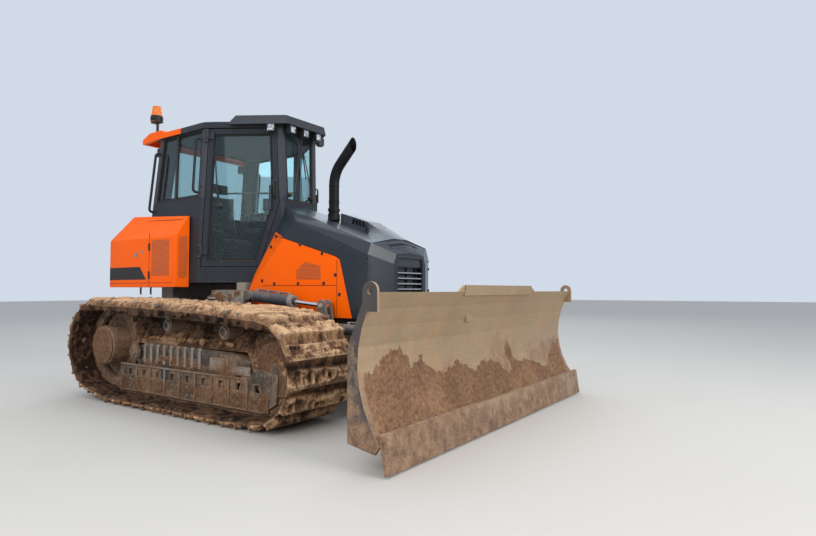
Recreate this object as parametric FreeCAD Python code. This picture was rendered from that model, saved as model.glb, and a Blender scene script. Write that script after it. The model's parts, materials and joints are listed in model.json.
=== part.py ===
import FreeCAD, Part
import math
import os
from FreeCAD import Vector

# Crawler dozer with a six-way blade: right side, front and cab as in the photograph.
# Millimetres. +X is the direction of travel, +Y the operator's left, +Z up, the ground is z = 0.
# Lengths along X are laid out from the sprocket axle; save() moves them to the middle of the machine.

# Undercarriage
track_gauge = 2240.0            # centre to centre of the two tracks
arm_in = 520.0                  # lift arms' middle inside the tracks' middle
arm_y = track_gauge / 2 - arm_in
shoe_width = 720.0
shoe_count = 44
shoe_thickness = 12.0
grouser_height = 48.0
grouser_thickness = 22.0
shoe_gap = 5.0                  # opening between two shoe plates on the straight run
link_half_height = 45.0         # pin line to shoe plate
rail_drop = 50.0                # pin line to the rail that the rollers run on
link_rail_width = 42.0
link_rail_spread = 82.0         # track centre to the middle of one rail
sprocket_z = 545.0
sprocket_pitch_radius = 375.0
sprocket_teeth = 23
sprocket_width = 62.0
idler_x = 2510.0
idler_z = 475.0
idler_pitch_radius = 350.0
idler_width = 200.0
idler_flange_width = 104.0
idler_flange_depth = 26.0
idler_axle_radius = 44.0
rail_sag = 9.0                  # a straight link's rail dips this much inside the wheel's pitch circle
roller_first_x = 330.0
roller_last_x = 2130.0
roller_count = 8
roller_radius = 90.0
roller_width = 230.0
carrier_table = ((985.0, 783.0), (1846.0, 752.0))      # x, z of the top rollers' axles
carrier_radius = 68.0
frame_beam_half = 96.0          # half width of the track frame's beam
frame_beam_top = 600.0
frame_beam_bottom = 352.0
guard_outer_y = 112.0           # guard plate, from the track's centre line
guard_plate = 16.0
guard_bottom = 96.0
guard_top = 372.0
guard_rear_x = 150.0
guard_front_x = 2500.0
guard_window = 62.0
guard_window_count = 9
running_gap = 0.1               # where a round piece seats in or on another
rail_gap = 0.5                  # between a roller and the rails on it
drive_cover_radius = 204.0
drive_cover_out = 220.0         # outer cover's face, from the track's centre line
drive_case_radius = 240.0

# Main frame
hull_half = 330.0
hull_plate = 40.0
hull_belly = 30.0
hull_toe_z = 560.0              # where the belly turns up at both ends
hull_bottom = 430.0
hull_top = 860.0
hull_side_top = 980.0           # top of the side plates under the cab
hull_rear_x = -330.0
hull_front_x = 2780.0
pivot_shaft_x = 520.0
pivot_shaft_z = 520.0
pivot_shaft_radius = 55.0
equalizer_x = 1390.0
equalizer_z = 480.0
drawbar_out = 300.0
drawbar_pin_radius = 22.0
drawbar_z = 600.0
drawbar_hole_in = 70.0
drawbar_plate = 36.0
drawbar_gap = 74.0
cab_mount_x = (-90.0, 1180.0)   # cross beams that carry the cab
lift_mount_half = 75.0
cab_mount_half = arm_y - lift_mount_half - 5.0
lift_deck_rear_x = 850.0        # decks beside the frame, from here to the side panels
lift_deck_z = (920.0, 975.0)
lift_deck_half = arm_y + 60.0

# Engine enclosure: x, crown z, crease half width, crease z, side half width, side top z
hood_stations = (
    (1300.0, 2112.0, 190.0, 2098.0, 500.0, 2062.0),
    (2000.0, 1896.0, 320.0, 1868.0, 500.0, 1806.0),
    (2890.0, 1608.0, 452.0, 1552.0, 500.0, 1446.0),
    (3009.0, 1480.0, 228.0, 1458.0, 262.0, 1366.0),
)
hood_bottom = 868.0
hood_cab_gap = 30.0
corner_facet = ((1495.0, -316.0, 1740.0), (1830.0, -500.0, 1660.0), (1450.0, -500.0, 1280.0))
hood_skin = 24.0
hood_side_skin = 30.0
panel_top_line = ((1380.0, 1776.0), (2500.0, 1447.0))
panel_corner_x = 2558.0
panel_corner_z = 1415.0
panel_front_foot_x = 2712.0
panel_sill_z = 1165.0
nose_seam_x = 2905.0
vent_outline = ((1993.0, 1228.0), (2320.0, 1225.0), (2314.0, 1356.0), (2112.0, 1400.0), (1993.0, 1322.0))
vent_slot_pitch = 17.0
grille_half = 222.0
grille_top_z = 1446.0
plate_bottom_z = 1338.0
grille_bottom_z = 1010.0
slat_pitch = 51.0
slat_height = 17.0
slat_depth = 46.0
slat_count = 6
engine_size = (880.0, 480.0, 820.0)
engine_x = 1610.0
engine_z = 620.0
exhaust_x = 2150.0
exhaust_y = -130.0
exhaust_radius = 52.0
exhaust_wall = 4.0
exhaust_base_z = 1835.0
exhaust_bend_z = 2200.0
exhaust_bend_radius = 300.0
exhaust_lean = 44.0
exhaust_tip_run = 300.0
exhaust_cut_x = 2402.0
scoop_half = 110.0
scoop_outline = ((2224.0, 1500.0), (2224.0, 1896.0), (2240.0, 1905.0), (2552.0, 1806.0), (2740.0, 1688.0),
                 (2740.0, 1500.0))
scoop_vent = ((2372.0, 1790.0), (2384.0, 1843.0), (2538.0, 1794.0), (2556.0, 1750.0), (2556.0, 1735.0))
scoop_vent_depth = 34.0
scoop_fins = (2412.0, 2452.0, 2492.0, 2530.0)
scoop_fin = 7.0

# Cab: plan corners at floor and at roof height, right side negative y
cab_floor_z = 1205.0
cab_sill_z = 1374.0
cab_waist_z = 2128.0
cab_bend_z = 2068.0
rear_window_z = 2020.0
cab_head_z = 2872.0
cab_roof_z = 2932.0
cab_cap_z = 2985.0
door_slant = 0.623              # how fast the door wall comes inwards going forward
rear_body_half = 920.0
rear_wall = 164.0
rear_inner_half = rear_body_half - rear_wall
cab_half = rear_inner_half - 8.0
cab_high_half = cab_half - 48.0
cab_low_corners = ((-262.0, cab_half), (736.0, cab_half), (1574.0, cab_half - door_slant * (1574.0 - 736.0)))
cab_high_corners = ((-20.0, cab_high_half), (800.0, cab_high_half),
                    (1500.0, cab_high_half - door_slant * (1500.0 - 800.0)))
cab_wall = 45.0
cab_floor_thickness = 40.0
post_b_width = 74.0
post_a_width = 46.0
post_d_width = 60.0
head_drop = 10.0
door_thickness = 38.0
door_gap = 7.0
door_frame_band = 52.0
door_foot_share = 0.70          # how far the door's sill reaches from hinge post to corner post
glass_thickness = 8.0
roof_overhang = 26.0
visor_wrap = 12.0
visor_wrap_x = 394.0
cap_rear_x = 1080.0
cap_rear_slant = 70.0
cap_overhang = 95.0
cap_drop = 42.0
hinge_radius = 9.0
hinge_knuckle_radius = 17.0
hinge_out = 20.0
hinge_heights = (1500.0, 2745.0)
hinge_length = 90.0

# Rear body
rear_face_x = -692.0
rear_body_front_x = 622.0
rear_body_bottom = 1158.0
rear_slope_z = 1704.0
rear_top_z = 1962.0
rear_top_half = 775.0
rear_top_face_x = -440.0
rear_inner_x = -275.0
rear_shell = 26.0
rear_grille_half = 560.0
rear_grille_low = 1250.0
rear_grille_high = 1660.0
rear_bar_pitch = 46.0
rear_bar_height = 16.0
louver_x = (180.0, 500.0)
louver_z = (1285.0, 1672.0)
louver_depth = 14.0
louver_pitch = 31.0
fan_radius = 250.0
fan_z = 1422.0
fan_x = -470.0
fan_hub_radius = 78.0
fan_blades = 9

# Blade lift frame, carrier, blade
lift_pivot_x = 1620.0
lift_pivot_z = 600.0
lift_pin_radius = 38.0
lift_collar_radius = 62.0
arm_width = 108.0
arm_height = 150.0
arm_front_x = 3290.0
arm_front_z = 560.0
tower_x = 2464.0
tower_z = 981.0
tower_plate = 22.0
cross_rear_x = 3200.0
cross_front_x = 3330.0
cross_bottom = 430.0
cross_top = 618.0
angle_pivot_x = 3450.0
angle_pin_radius = 45.0
angle_hub_radius = 92.0
carrier_z0 = 440.0
carrier_z1 = 660.0
carrier_back_x = 3560.0
carrier_front_x = 3655.0
carrier_half = arm_y + 12.0
carrier_neck_half = carrier_half - 312.0
tilt_pin_z = 550.0
tilt_pin_radius = 60.0
tilt_pin_length = 130.0
blade_half = 1750.0
blade_height = 1098.0
blade_clear = 15.0              # cutting edge above the ground at rest
blade_back_x = 3672.0
blade_top_x = 3960.0
blade_tip_x = 4046.0
blade_sheet = 20.0
blade_end_plate = 24.0
blade_mid_half = 640.0
blade_mid_rise = 52.0
edge_height = 200.0
edge_thickness = 22.0
ear_rise = 66.0
ear_radius = 58.0
ear_hole_radius = 22.0
rib_y = (260.0, 620.0, 1010.0, 1400.0)
rib_plate = 24.0

# Cylinders: barrel radius, rod radius, pin radius
lift_base = (1452.0, arm_y, 1072.0)
lift_barrel_radius = 55.0
lift_rod_radius = 22.0
lift_barrel_length = 620.0
angle_base = (2660.0, arm_y + 5.0, 772.0)
angle_rod_eye = (3602.0, arm_y - 40.0, 772.0)
angle_barrel_radius = 48.0
angle_rod_radius = 24.0
angle_barrel_length = 610.0
tilt_base = (3701.0, arm_y - 220.0, 905.0)
tilt_rod_eye = (3701.0, -400.0, 960.0)
tilt_barrel_radius = 46.0
tilt_rod_radius = 23.0
tilt_barrel_length = 470.0
eye_radius = 40.0
eye_width = 50.0
cylinder_pin_radius = 20.0
lift_rod_hidden = 200.0         # length of rod inside its barrel at rest
angle_rod_hidden = 265.0
tilt_rod_hidden = 120.0
side_gap = 0.3                  # beside an eye

# Small fittings
rear_lamp_z = 2750.0
beacon_x = -292.0
beacon_y = -600.0
beacon_foot_z = 2905.0
beacon_base_z = 3150.0
beacon_lens_z = 3225.0
beacon_top_z = 3335.0
beacon_radius = 62.0
rail_radius = 14.0
seat_x = 300.0
seat_top_z = 1730.0
seat_gap = 0.4

middle_x = (rear_face_x - 14.0 + blade_tip_x) / 2.0


def box(x0, x1, y0, y1, z0, z1):
    return Part.makeBox(x1 - x0, y1 - y0, z1 - z0, Vector(x0, y0, z0))


def prism(points, sweep):
    """A flat outline, carried along a straight vector."""
    ring = [Vector(*p) for p in points]
    return Part.Face(Part.makePolygon(ring + ring[:1])).extrude(Vector(*sweep))


def prism_xz(points, y0, y1):
    return prism([(x, y0, z) for x, z in points], (0, y1 - y0, 0))


def prism_xy(points, z0, z1):
    return prism([(x, y, z0) for x, y in points], (0, 0, z1 - z0))


def prism_yz(points, x0, x1):
    return prism([(x0, y, z) for y, z in points], (x1 - x0, 0, 0))


def rod(radius, start, end):
    """A round bar between two points."""
    a = Vector(*start)
    b = Vector(*end)
    return Part.makeCylinder(radius, (b - a).Length, a, b - a)


def mirrored(shape):
    return shape.mirror(Vector(0, 0, 0), Vector(0, 1, 0))


def fuse(shapes):
    whole = shapes[0]
    for shape in shapes[1:]:
        whole = whole.fuse(shape)
    return whole.removeSplitter()


def cut(shape, tools):
    for tool in tools:
        shape = shape.cut(tool)
    return shape


def facet(points):
    """Flat faces over a ring of points: one face, or two triangles where a quad is twisted."""
    plane = (points[1] - points[0]).cross(points[2] - points[0]).normalize()
    if len(points) == 4 and abs((points[3] - points[0]).dot(plane)) > 1e-6:
        return facet([points[0], points[1], points[2]]) + facet([points[0], points[2], points[3]])
    return [Part.Face(Part.makePolygon(points + points[:1]))]


def loft(rings):
    """Solid between flat rings of as many corners each, with flat sides."""
    rings = [[Vector(*p) for p in ring] for ring in rings]
    faces = facet(rings[0]) + facet(rings[-1])
    for low, high in zip(rings, rings[1:]):
        for i in range(len(low)):
            j = (i + 1) % len(low)
            faces += facet([low[i], low[j], high[j], high[i]])
    solid = Part.Solid(Part.Shell(faces))
    if solid.Volume < 0:
        solid.reverse()
    return solid


def save(node, shapes):
    """Writes one node, moved so that the middle of the machine is at x = 0."""
    if not isinstance(shapes, (list, tuple)):
        shapes = [shapes]
    solids = []
    for shape in shapes:
        solids += shape.Solids
    body = solids[0] if len(solids) == 1 else Part.makeCompound(solids)
    body = body.copy()
    body.translate(Vector(-middle_x, 0, 0))
    body.exportStep(os.path.join("parts", node + ".step"))


# Track path: arcs round the sprocket, the idler and the end rollers, joined by tangents
def track_circles():
    """Pitch line circles in running order: x, z, radius, counter-clockwise seen from the right."""
    low = roller_radius + rail_drop
    ground = grouser_height + shoe_thickness + link_half_height
    roller_z = ground + low
    top = [(x, z, carrier_radius + rail_drop) for x, z in carrier_table]
    return [(0.0, sprocket_z, sprocket_pitch_radius),
            (roller_first_x, roller_z, low),
            (roller_last_x, roller_z, low),
            (idler_x, idler_z, idler_pitch_radius),
            top[1], top[0]]


def tangent(a, b):
    """Outer tangent that leaves circle a and meets circle b, with both on its left."""
    dx = b[0] - a[0]
    dz = b[1] - a[1]
    reach = math.hypot(dx, dz)
    along = math.atan2(dz, dx)
    normal = along - math.pi / 2 + math.asin((a[2] - b[2]) / reach)
    nx = math.cos(normal)
    nz = math.sin(normal)
    return (a[0] + a[2] * nx, a[1] + a[2] * nz), (b[0] + b[2] * nx, b[1] + b[2] * nz), normal


def track_path():
    """The pitch line as straight and round stretches, each with its length."""
    circles = track_circles()
    links = [tangent(circles[i], circles[(i + 1) % len(circles)]) for i in range(len(circles))]
    stretches = []
    for i, circle in enumerate(circles):
        start = links[i - 1][2]
        end = links[i][2]
        turn = (end - start) % (2 * math.pi)
        stretches.append(("arc", circle, start, turn, circle[2] * turn))
        p, q = links[i][0], links[i][1]
        stretches.append(("line", p, q, links[i][2], math.hypot(q[0] - p[0], q[1] - p[1])))
    return stretches


def point_on_track(stretches, distance):
    """Position and outward direction at a distance along the pitch line."""
    for stretch in stretches:
        length = stretch[4]
        if distance <= length:
            if stretch[0] == "line":
                p, q, normal = stretch[1:4]
                share = distance / length
                return p[0] + (q[0] - p[0]) * share, p[1] + (q[1] - p[1]) * share, normal
            circle, start, turn = stretch[1:4]
            angle = start + turn * distance / length
            return circle[0] + circle[2] * math.cos(angle), circle[1] + circle[2] * math.sin(angle), angle
        distance -= length
    return point_on_track(stretches, distance)


def make_track():
    """Shoe belt with its grousers in one outline, and two link rails inside it."""
    stretches = track_path()
    total = sum(stretch[4] for stretch in stretches)
    pitch = total / shoe_count
    plate_low = link_half_height
    plate_high = link_half_height + shoe_thickness
    tip = plate_high + grouser_height
    outer = []
    inner = []
    rail_in = []
    for i in range(shoe_count):
        x, z, angle = point_on_track(stretches, ((i + 0.5) * pitch) % total)
        nx = math.cos(angle)
        nz = math.sin(angle)
        tx = -nz
        tz = nx
        half = pitch / 2 - shoe_gap / 2
        heel = -half + grouser_thickness + 6.0
        shoe = ((-half, plate_high), (-half + 2.0, tip), (-half + grouser_thickness - 4.0, tip),
                (heel, plate_high), (half, plate_high))
        outer += [(x + tx * s + nx * h, z + tz * s + nz * h) for s, h in shoe]
        inner += [(x + tx * s + nx * plate_low, z + tz * s + nz * plate_low) for s in (-half, half)]
        rail_in += [(x + tx * s - nx * rail_drop, z + tz * s - nz * rail_drop)
                    for s in (-half * 0.8, half * 0.8)]
    width = shoe_width / 2
    belt = prism_xz(outer, -width, width).cut(prism_xz(inner, -width - 1, width + 1))
    rails = []
    for side in (-1, 1):
        y = side * link_rail_spread
        ring = prism_xz(inner, y - link_rail_width / 2, y + link_rail_width / 2)
        rails.append(ring.cut(prism_xz(rail_in, y - link_rail_width, y + link_rail_width)))
    return fuse([belt] + rails)


def at_track(shape, side):
    moved = shape.copy()
    moved.translate(Vector(0, side * track_gauge / 2, 0))
    return moved


def roller_axle_z():
    return grouser_height + shoe_thickness + link_half_height + rail_drop + roller_radius


def make_sprocket():
    """Toothed rim on its hub, with the round cover of the final drive outside and its case inside."""
    outline = []
    for i in range(sprocket_teeth):
        base = 2 * math.pi * i / sprocket_teeth
        step = 2 * math.pi / sprocket_teeth
        for share, radius in ((0.0, sprocket_pitch_radius - 34.0), (0.28, sprocket_pitch_radius - 26.0),
                              (0.42, sprocket_pitch_radius + 8.0), (0.58, sprocket_pitch_radius + 8.0),
                              (0.72, sprocket_pitch_radius - 26.0)):
            angle = base + step * share
            outline.append((radius * math.cos(angle), sprocket_z + radius * math.sin(angle)))
    rim = prism_xz(outline, -sprocket_width / 2, sprocket_width / 2)
    rim = rim.cut(rod(sprocket_pitch_radius - 95.0, (0, -100, sprocket_z), (0, 100, sprocket_z)))
    disc = rod(sprocket_pitch_radius - 94.0, (0, -20, sprocket_z), (0, 20, sprocket_z))
    cover = rod(drive_cover_radius, (0, 0, sprocket_z), (0, -drive_cover_out, sprocket_z))
    cover = cover.makeFillet(18.0, [e for e in cover.Edges
                                    if abs(e.CenterOfMass.y + drive_cover_out) < 1.0])
    cap = rod(drive_cover_radius * 0.42, (0, -drive_cover_out, sprocket_z),
              (0, -drive_cover_out - 14.0, sprocket_z))
    inner_reach = track_gauge / 2 - hull_half - running_gap
    case = rod(drive_case_radius, (0, 0, sprocket_z), (0, inner_reach, sprocket_z))
    return fuse([rim, disc, cover, cap, case])


def make_idler():
    centre = (idler_x, idler_z)
    tread = idler_pitch_radius - rail_drop - rail_sag
    wheel = rod(tread, (centre[0], -idler_width / 2, centre[1]), (centre[0], idler_width / 2, centre[1]))
    flange = rod(tread + idler_flange_depth, (centre[0], -idler_flange_width / 2, centre[1]),
                 (centre[0], idler_flange_width / 2, centre[1]))
    wheel = wheel.fuse(flange)
    for side in (-1, 1):
        face = side * idler_width / 2
        dish = rod(tread - 48.0, (centre[0], face, centre[1]), (centre[0], face - side * 62.0, centre[1]))
        wheel = wheel.cut(dish)
    hub = rod(88.0, (centre[0], -idler_width / 2 + 4.0, centre[1]),
              (centre[0], idler_width / 2 - 4.0, centre[1]))
    bore = rod(idler_axle_radius + running_gap, (idler_x, -300, idler_z), (idler_x, 300, idler_z))
    return fuse([wheel, hub]).cut(bore)


def make_track_frame():
    """Roller frame beam with its guards, idler fork, roller axles and top roller posts."""
    rear_x = sprocket_pitch_radius + 35.0
    beam_front = idler_x - idler_pitch_radius + 20.0
    beam = prism_xz(((rear_x, 470.0), (rear_x + 60.0, frame_beam_bottom), (beam_front, frame_beam_bottom),
                     (beam_front, frame_beam_top - 90.0), (beam_front - 260.0, frame_beam_top - 30.0),
                     (rear_x + 260.0, frame_beam_top), (rear_x, frame_beam_top - 60.0)),
                    -frame_beam_half, frame_beam_half)
    parts = [beam]
    step = (guard_front_x - guard_rear_x - 420.0) / (guard_window_count - 1)
    outline = ((guard_rear_x, 200.0), (guard_rear_x + 110.0, guard_bottom),
               (guard_front_x - 120.0, guard_bottom),
               (guard_front_x + 40.0, 190.0), (guard_front_x + 60.0, guard_top + 60.0),
               (guard_front_x - 160.0, guard_top + 90.0),
               (guard_front_x - 420.0, guard_top), (guard_rear_x + 40.0, guard_top))
    for side in (-1, 1):
        y0 = side * guard_outer_y
        y1 = y0 + side * guard_plate
        guard = prism_xz(outline, min(y0, y1), max(y0, y1))
        for i in range(guard_window_count):
            x = guard_rear_x + 200.0 + i * step
            window = box(x, x + guard_window, -400, 400, 262.0, 262.0 + guard_window)
            guard = guard.cut(window)
        guard = guard.cut(rod(drive_case_radius + 14.0, (0, -400, sprocket_z), (0, 400, sprocket_z)))
        parts.append(guard)
        spacer = box(rear_x + 80.0, beam_front, min(side * (frame_beam_half - 4.0), y0),
                     max(side * (frame_beam_half - 4.0), y0),
                     frame_beam_bottom, guard_top - 4.0)
        parts.append(spacer)
    axle_half = guard_outer_y + 4.0
    for i in range(roller_count):
        x = roller_first_x + i * (roller_last_x - roller_first_x) / (roller_count - 1)
        parts.append(rod(30.0, (x, -axle_half, roller_axle_z()), (x, axle_half, roller_axle_z())))
    idler_axle = rod(idler_axle_radius, (idler_x, -guard_outer_y - 6.0, idler_z),
                     (idler_x, guard_outer_y + 6.0, idler_z))
    parts.append(idler_axle)
    for x, z in carrier_table:
        parts.append(box(x - 45.0, x + 45.0, 62.0, 92.0, frame_beam_top - 120.0, z + 40.0))
        parts.append(rod(26.0, (x, -roller_width / 2 + 40.0, z), (x, 92.0, z)))
    parts.append(rod(pivot_shaft_radius + 26.0, (pivot_shaft_x, frame_beam_half - 6.0, pivot_shaft_z),
                     (pivot_shaft_x, guard_outer_y + 56.0, pivot_shaft_z)))
    return fuse(parts)


def make_rollers():
    rollers = []
    for i in range(roller_count):
        x = roller_first_x + i * (roller_last_x - roller_first_x) / (roller_count - 1)
        z = roller_axle_z()
        width = guard_outer_y - 6.0
        body = rod(roller_radius - rail_gap, (x, -width, z), (x, width, z))
        waist = rod(400.0, (x, -58.0, z),
                    (x, 58.0, z)).cut(rod(roller_radius - 26.0, (x, -60.0, z), (x, 60.0, z)))
        rollers.append(cut(body, [waist, rod(30.0 + running_gap, (x, -200, z), (x, 200, z))]))
    for x, z in carrier_table:
        body = rod(carrier_radius - rail_gap, (x, -110.0, z), (x, 56.0, z))
        rollers.append(body.cut(rod(26.0 + running_gap, (x, -roller_width / 2 + 40.0 - running_gap, z),
                                    (x, 200, z))))
    return rollers


# Main frame, drawbar, engine
def make_main_frame():
    """Side plates, belly plate, end walls, the post under the rear body, and the drawbar."""
    y1 = hull_half
    y0 = hull_half - hull_plate
    belly_rear_x = hull_rear_x + 180.0
    belly_front_x = hull_front_x - 260.0
    belly_top = hull_bottom + hull_belly
    side_outline = ((hull_rear_x, hull_toe_z), (belly_rear_x, hull_bottom), (belly_front_x, hull_bottom),
                    (hull_front_x, hull_toe_z), (hull_front_x, hull_top), (1700.0, hull_top),
                    (1560.0, hull_side_top), (hull_rear_x + 60.0, hull_side_top), (hull_rear_x, 920.0))
    parts = [prism_xz(side_outline, side * y1, side * y0) for side in (-1, 1)]
    parts.append(box(belly_rear_x, belly_front_x, -y1, y1, hull_bottom, belly_top))
    parts.append(prism_xz(((hull_rear_x, hull_toe_z), (belly_rear_x, hull_bottom),
                           (belly_rear_x, belly_top),
                           (hull_rear_x + hull_belly, hull_toe_z + 15.0), (hull_rear_x + hull_belly, 900.0),
                           (hull_rear_x, 900.0)), -y1, y1))
    parts.append(prism_xz(((belly_front_x, hull_bottom), (hull_front_x, hull_toe_z),
                           (hull_front_x, hull_top),
                           (hull_front_x - 36.0, hull_top), (hull_front_x - 36.0, hull_toe_z + 18.0),
                           (belly_front_x - 12.0, belly_top)), -y1, y1))
    parts.append(box(hull_rear_x - 230.0, hull_rear_x + hull_plate, -y1, y1, 840.0,
                     rear_body_bottom - running_gap))
    parts += drawbar_plates()
    return fuse(parts)


def drawbar_plates():
    """Two level plates behind the frame, with the pin's hole through both."""
    tip = hull_rear_x - drawbar_out
    outline = ((hull_rear_x + 10.0, -120.0), (tip + 60.0, -60.0), (tip, -30.0), (tip, 30.0),
               (tip + 60.0, 60.0),
               (hull_rear_x + 10.0, 120.0))
    hole = rod(drawbar_pin_radius, (tip + drawbar_hole_in, 0, 300.0), (tip + drawbar_hole_in, 0, 900.0))
    plates = []
    for side in (-1, 1):
        middle = drawbar_z + side * (drawbar_gap + drawbar_plate) / 2
        plates.append(prism_xy(outline, middle - drawbar_plate / 2, middle + drawbar_plate / 2).cut(hole))
    return plates


def make_frame_shafts():
    """On each side the pivot shaft, the equalizer bar's end and the lift frame's trunnion."""
    start = hull_half
    pivot_end = track_gauge / 2 - guard_outer_y - 56.0 - running_gap
    bar_end = track_gauge / 2 - frame_beam_half - guard_plate * 2.0 - 2.0 - running_gap
    bar = ((equalizer_x - 70.0, equalizer_z - 30.0), (equalizer_x + 70.0, equalizer_z - 30.0),
           (equalizer_x + 50.0, equalizer_z + 70.0), (equalizer_x - 50.0, equalizer_z + 70.0))
    collar_end = arm_y - arm_width / 2 - 3.0
    pin_end = arm_y + arm_width / 2 + 4.0
    shafts = []
    for side in (-1, 1):
        shafts.append(rod(pivot_shaft_radius, (pivot_shaft_x, side * start, pivot_shaft_z),
                          (pivot_shaft_x, side * pivot_end, pivot_shaft_z)))
        shafts.append(prism_xz(bar, side * start, side * bar_end))
        collar = rod(lift_collar_radius, (lift_pivot_x, side * start, lift_pivot_z),
                     (lift_pivot_x, side * collar_end, lift_pivot_z))
        pin = rod(lift_pin_radius, (lift_pivot_x, side * start, lift_pivot_z),
                  (lift_pivot_x, side * pin_end, lift_pivot_z))
        shafts.append(fuse([collar, pin]))
    return shafts


def make_cab_mounts():
    """Cross beams on the frame's side plates, under the cab's floor."""
    return [box(x - 60.0, x + 60.0, -cab_mount_half, cab_mount_half, hull_side_top,
                cab_floor_z - running_gap)
            for x in cab_mount_x]


def lift_mount(side):
    """Deck bracket beside the main frame, with the two ears that hold a lift cylinder's base pin."""
    x, y, z = lift_base
    back = x - eye_radius - 10.0
    deck_y = sorted((side * hull_half, side * lift_deck_half))
    parts = [box(lift_deck_rear_x, hood_stations[0][0] - running_gap, *deck_y, *lift_deck_z)]
    parts.append(prism_xz(((900.0, 960.0), (back, 960.0), (back, z + 55.0), (980.0, z + 55.0),
                           (900.0, z - 10.0)),
                          side * (y - lift_mount_half), side * (y + lift_mount_half)))
    outline = ((back - 10.0, z - 48.0), (x + 10.0, z - 44.0), (x + 40.0, z - 18.0), (x + 40.0, z + 18.0),
               (x + 10.0, z + 44.0), (back - 10.0, z + 48.0))
    for ear in (-1, 1):
        y0 = side * y + ear * (eye_width / 2 + side_gap)
        y1 = y0 + ear * 20.0
        parts.append(prism_xz(outline, min(y0, y1), max(y0, y1)))
    reach = eye_width / 2 + 26.0
    parts.append(rod(cylinder_pin_radius, (x, side * y - reach, z), (x, side * y + reach, z)))
    return fuse(parts)


def make_engine():
    length, width, height = engine_size
    block = prism_yz(((-width / 2, engine_z), (width / 2, engine_z), (width / 2, engine_z + height - 160.0),
                      (width / 2 - 110.0, engine_z + height), (-width / 2 + 110.0, engine_z + height),
                      (-width / 2, engine_z + height - 160.0)), engine_x, engine_x + length)
    low = box(engine_x, engine_x + length, -hull_half + hull_plate, hull_half - hull_plate,
              hull_bottom + 30.0, engine_z + 40.0)
    return fuse([block, low])


# Cab
def cab_ring(z, inset=0.0):
    """Hexagonal plan of the cab at a height, moved inwards by a distance, from right rear round to left rear."""
    share = (z - cab_floor_z) / (cab_roof_z - cab_floor_z)
    corners = []
    for low, high in zip(cab_low_corners, cab_high_corners):
        corners.append((low[0] + (high[0] - low[0]) * share, -(low[1] + (high[1] - low[1]) * share)))
    ring = corners + [(x, -y) for x, y in reversed(corners)]
    if inset == 0.0:
        return [(x, y, z) for x, y in ring]
    moved = []
    count = len(ring)
    for i in range(count):
        a, b, c = ring[i - 1], ring[i], ring[(i + 1) % count]
        n1 = inward(a, b)
        n2 = inward(b, c)
        scale = inset / (1.0 + n1[0] * n2[0] + n1[1] * n2[1])
        moved.append((b[0] + (n1[0] + n2[0]) * scale, b[1] + (n1[1] + n2[1]) * scale, z))
    return moved


def inward(a, b):
    """Unit normal to the left of a run from a to b."""
    dx, dy = b[0] - a[0], b[1] - a[1]
    length = math.hypot(dx, dy)
    return (-dy / length, dx / length)


def cab_solid(z0, z1, inset=0.0):
    return loft([cab_ring(z0, inset), cab_ring(z1, inset)])


class Wall:
    """A leaning wall of the cab: u runs along it, v up it, n out of it, from its lower rear corner."""

    def __init__(self, first, second):
        low = cab_ring(cab_floor_z)
        high = cab_ring(cab_roof_z)
        self.origin = Vector(*low[first])
        self.u = (Vector(*low[second]) - self.origin).normalize()
        rise = Vector(*high[first]) - self.origin
        up = rise - self.u * rise.dot(self.u)
        self.v = up.normalize()
        self.n = self.u.cross(self.v)
        self.low_width = (Vector(*low[second]) - self.origin).Length
        self.high_start = rise.dot(self.u)
        self.high_end = (Vector(*high[second]) - self.origin).dot(self.u)
        self.height = rise.dot(self.v)

    def v_at(self, z):
        return (z - cab_floor_z) / self.v.z

    def edge(self, z, side):
        """Where the wall's rear (0) or front (1) edge stands at a height."""
        share = self.v_at(z) / self.height
        start = self.high_start * share
        end = self.low_width + (self.high_end - self.low_width) * share
        return end if side else start

    def point(self, u, v, n=0.0):
        return self.origin + self.u * u + self.v * v + self.n * n

    def plate(self, outline, n0, n1):
        """Prism on the wall: its outline in (u, height z), from depth n0 to n1."""
        ring = [self.point(u, self.v_at(z), n0) for u, z in outline]
        return Part.Face(Part.makePolygon(ring + ring[:1])).extrude(self.n * (n1 - n0))


side_wall = Wall(0, 1)
door_wall = Wall(1, 2)
front_wall = Wall(2, 3)


def inset_outline(outline, distance):
    """Moves each edge of an anticlockwise outline inwards by a distance."""
    moved = []
    count = len(outline)
    for i in range(count):
        a, b, c = outline[i - 1], outline[i], outline[(i + 1) % count]
        n1 = inward(a, b)
        n2 = inward(b, c)
        scale = distance / (1.0 + n1[0] * n2[0] + n1[1] * n2[1])
        moved.append((b[0] + (n1[0] + n2[0]) * scale, b[1] + (n1[1] + n2[1]) * scale))
    return moved


def door_outline():
    """Door opening on its wall, anticlockwise from the lower rear corner."""
    foot = door_wall.low_width * door_foot_share
    return [(door_wall.edge(cab_sill_z, 0) + post_b_width / 2, cab_sill_z),
            (foot, cab_sill_z),
            (door_wall.edge(cab_bend_z, 1) - post_a_width, cab_bend_z),
            (door_wall.edge(cab_head_z, 1) - post_a_width, cab_head_z),
            (door_wall.edge(cab_head_z, 0) + post_b_width / 2, cab_head_z)]


def side_window_outline():
    low = cab_waist_z
    return [(side_wall.edge(low, 0) + post_d_width, low),
            (side_wall.edge(low, 1) - post_b_width / 2 - 6.0, low),
            (side_wall.edge(cab_head_z, 1) - post_b_width / 2 - 6.0, cab_head_z),
            (side_wall.edge(cab_head_z, 0) + post_d_width, cab_head_z)]


def front_window_outline():
    low = cab_bend_z + 8.0
    return [(front_wall.edge(low, 0) + post_a_width, low), (front_wall.edge(low, 1) - post_a_width, low),
            (front_wall.edge(cab_head_z, 1) - post_a_width, cab_head_z),
            (front_wall.edge(cab_head_z, 0) + post_a_width, cab_head_z)]


def rear_window_outline():
    """Rear opening in y and z."""
    low = rear_window_z
    half = 560.0
    return [(-half, low), (half, low), (half - 40.0, cab_head_z), (-half + 40.0, cab_head_z)]


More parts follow.
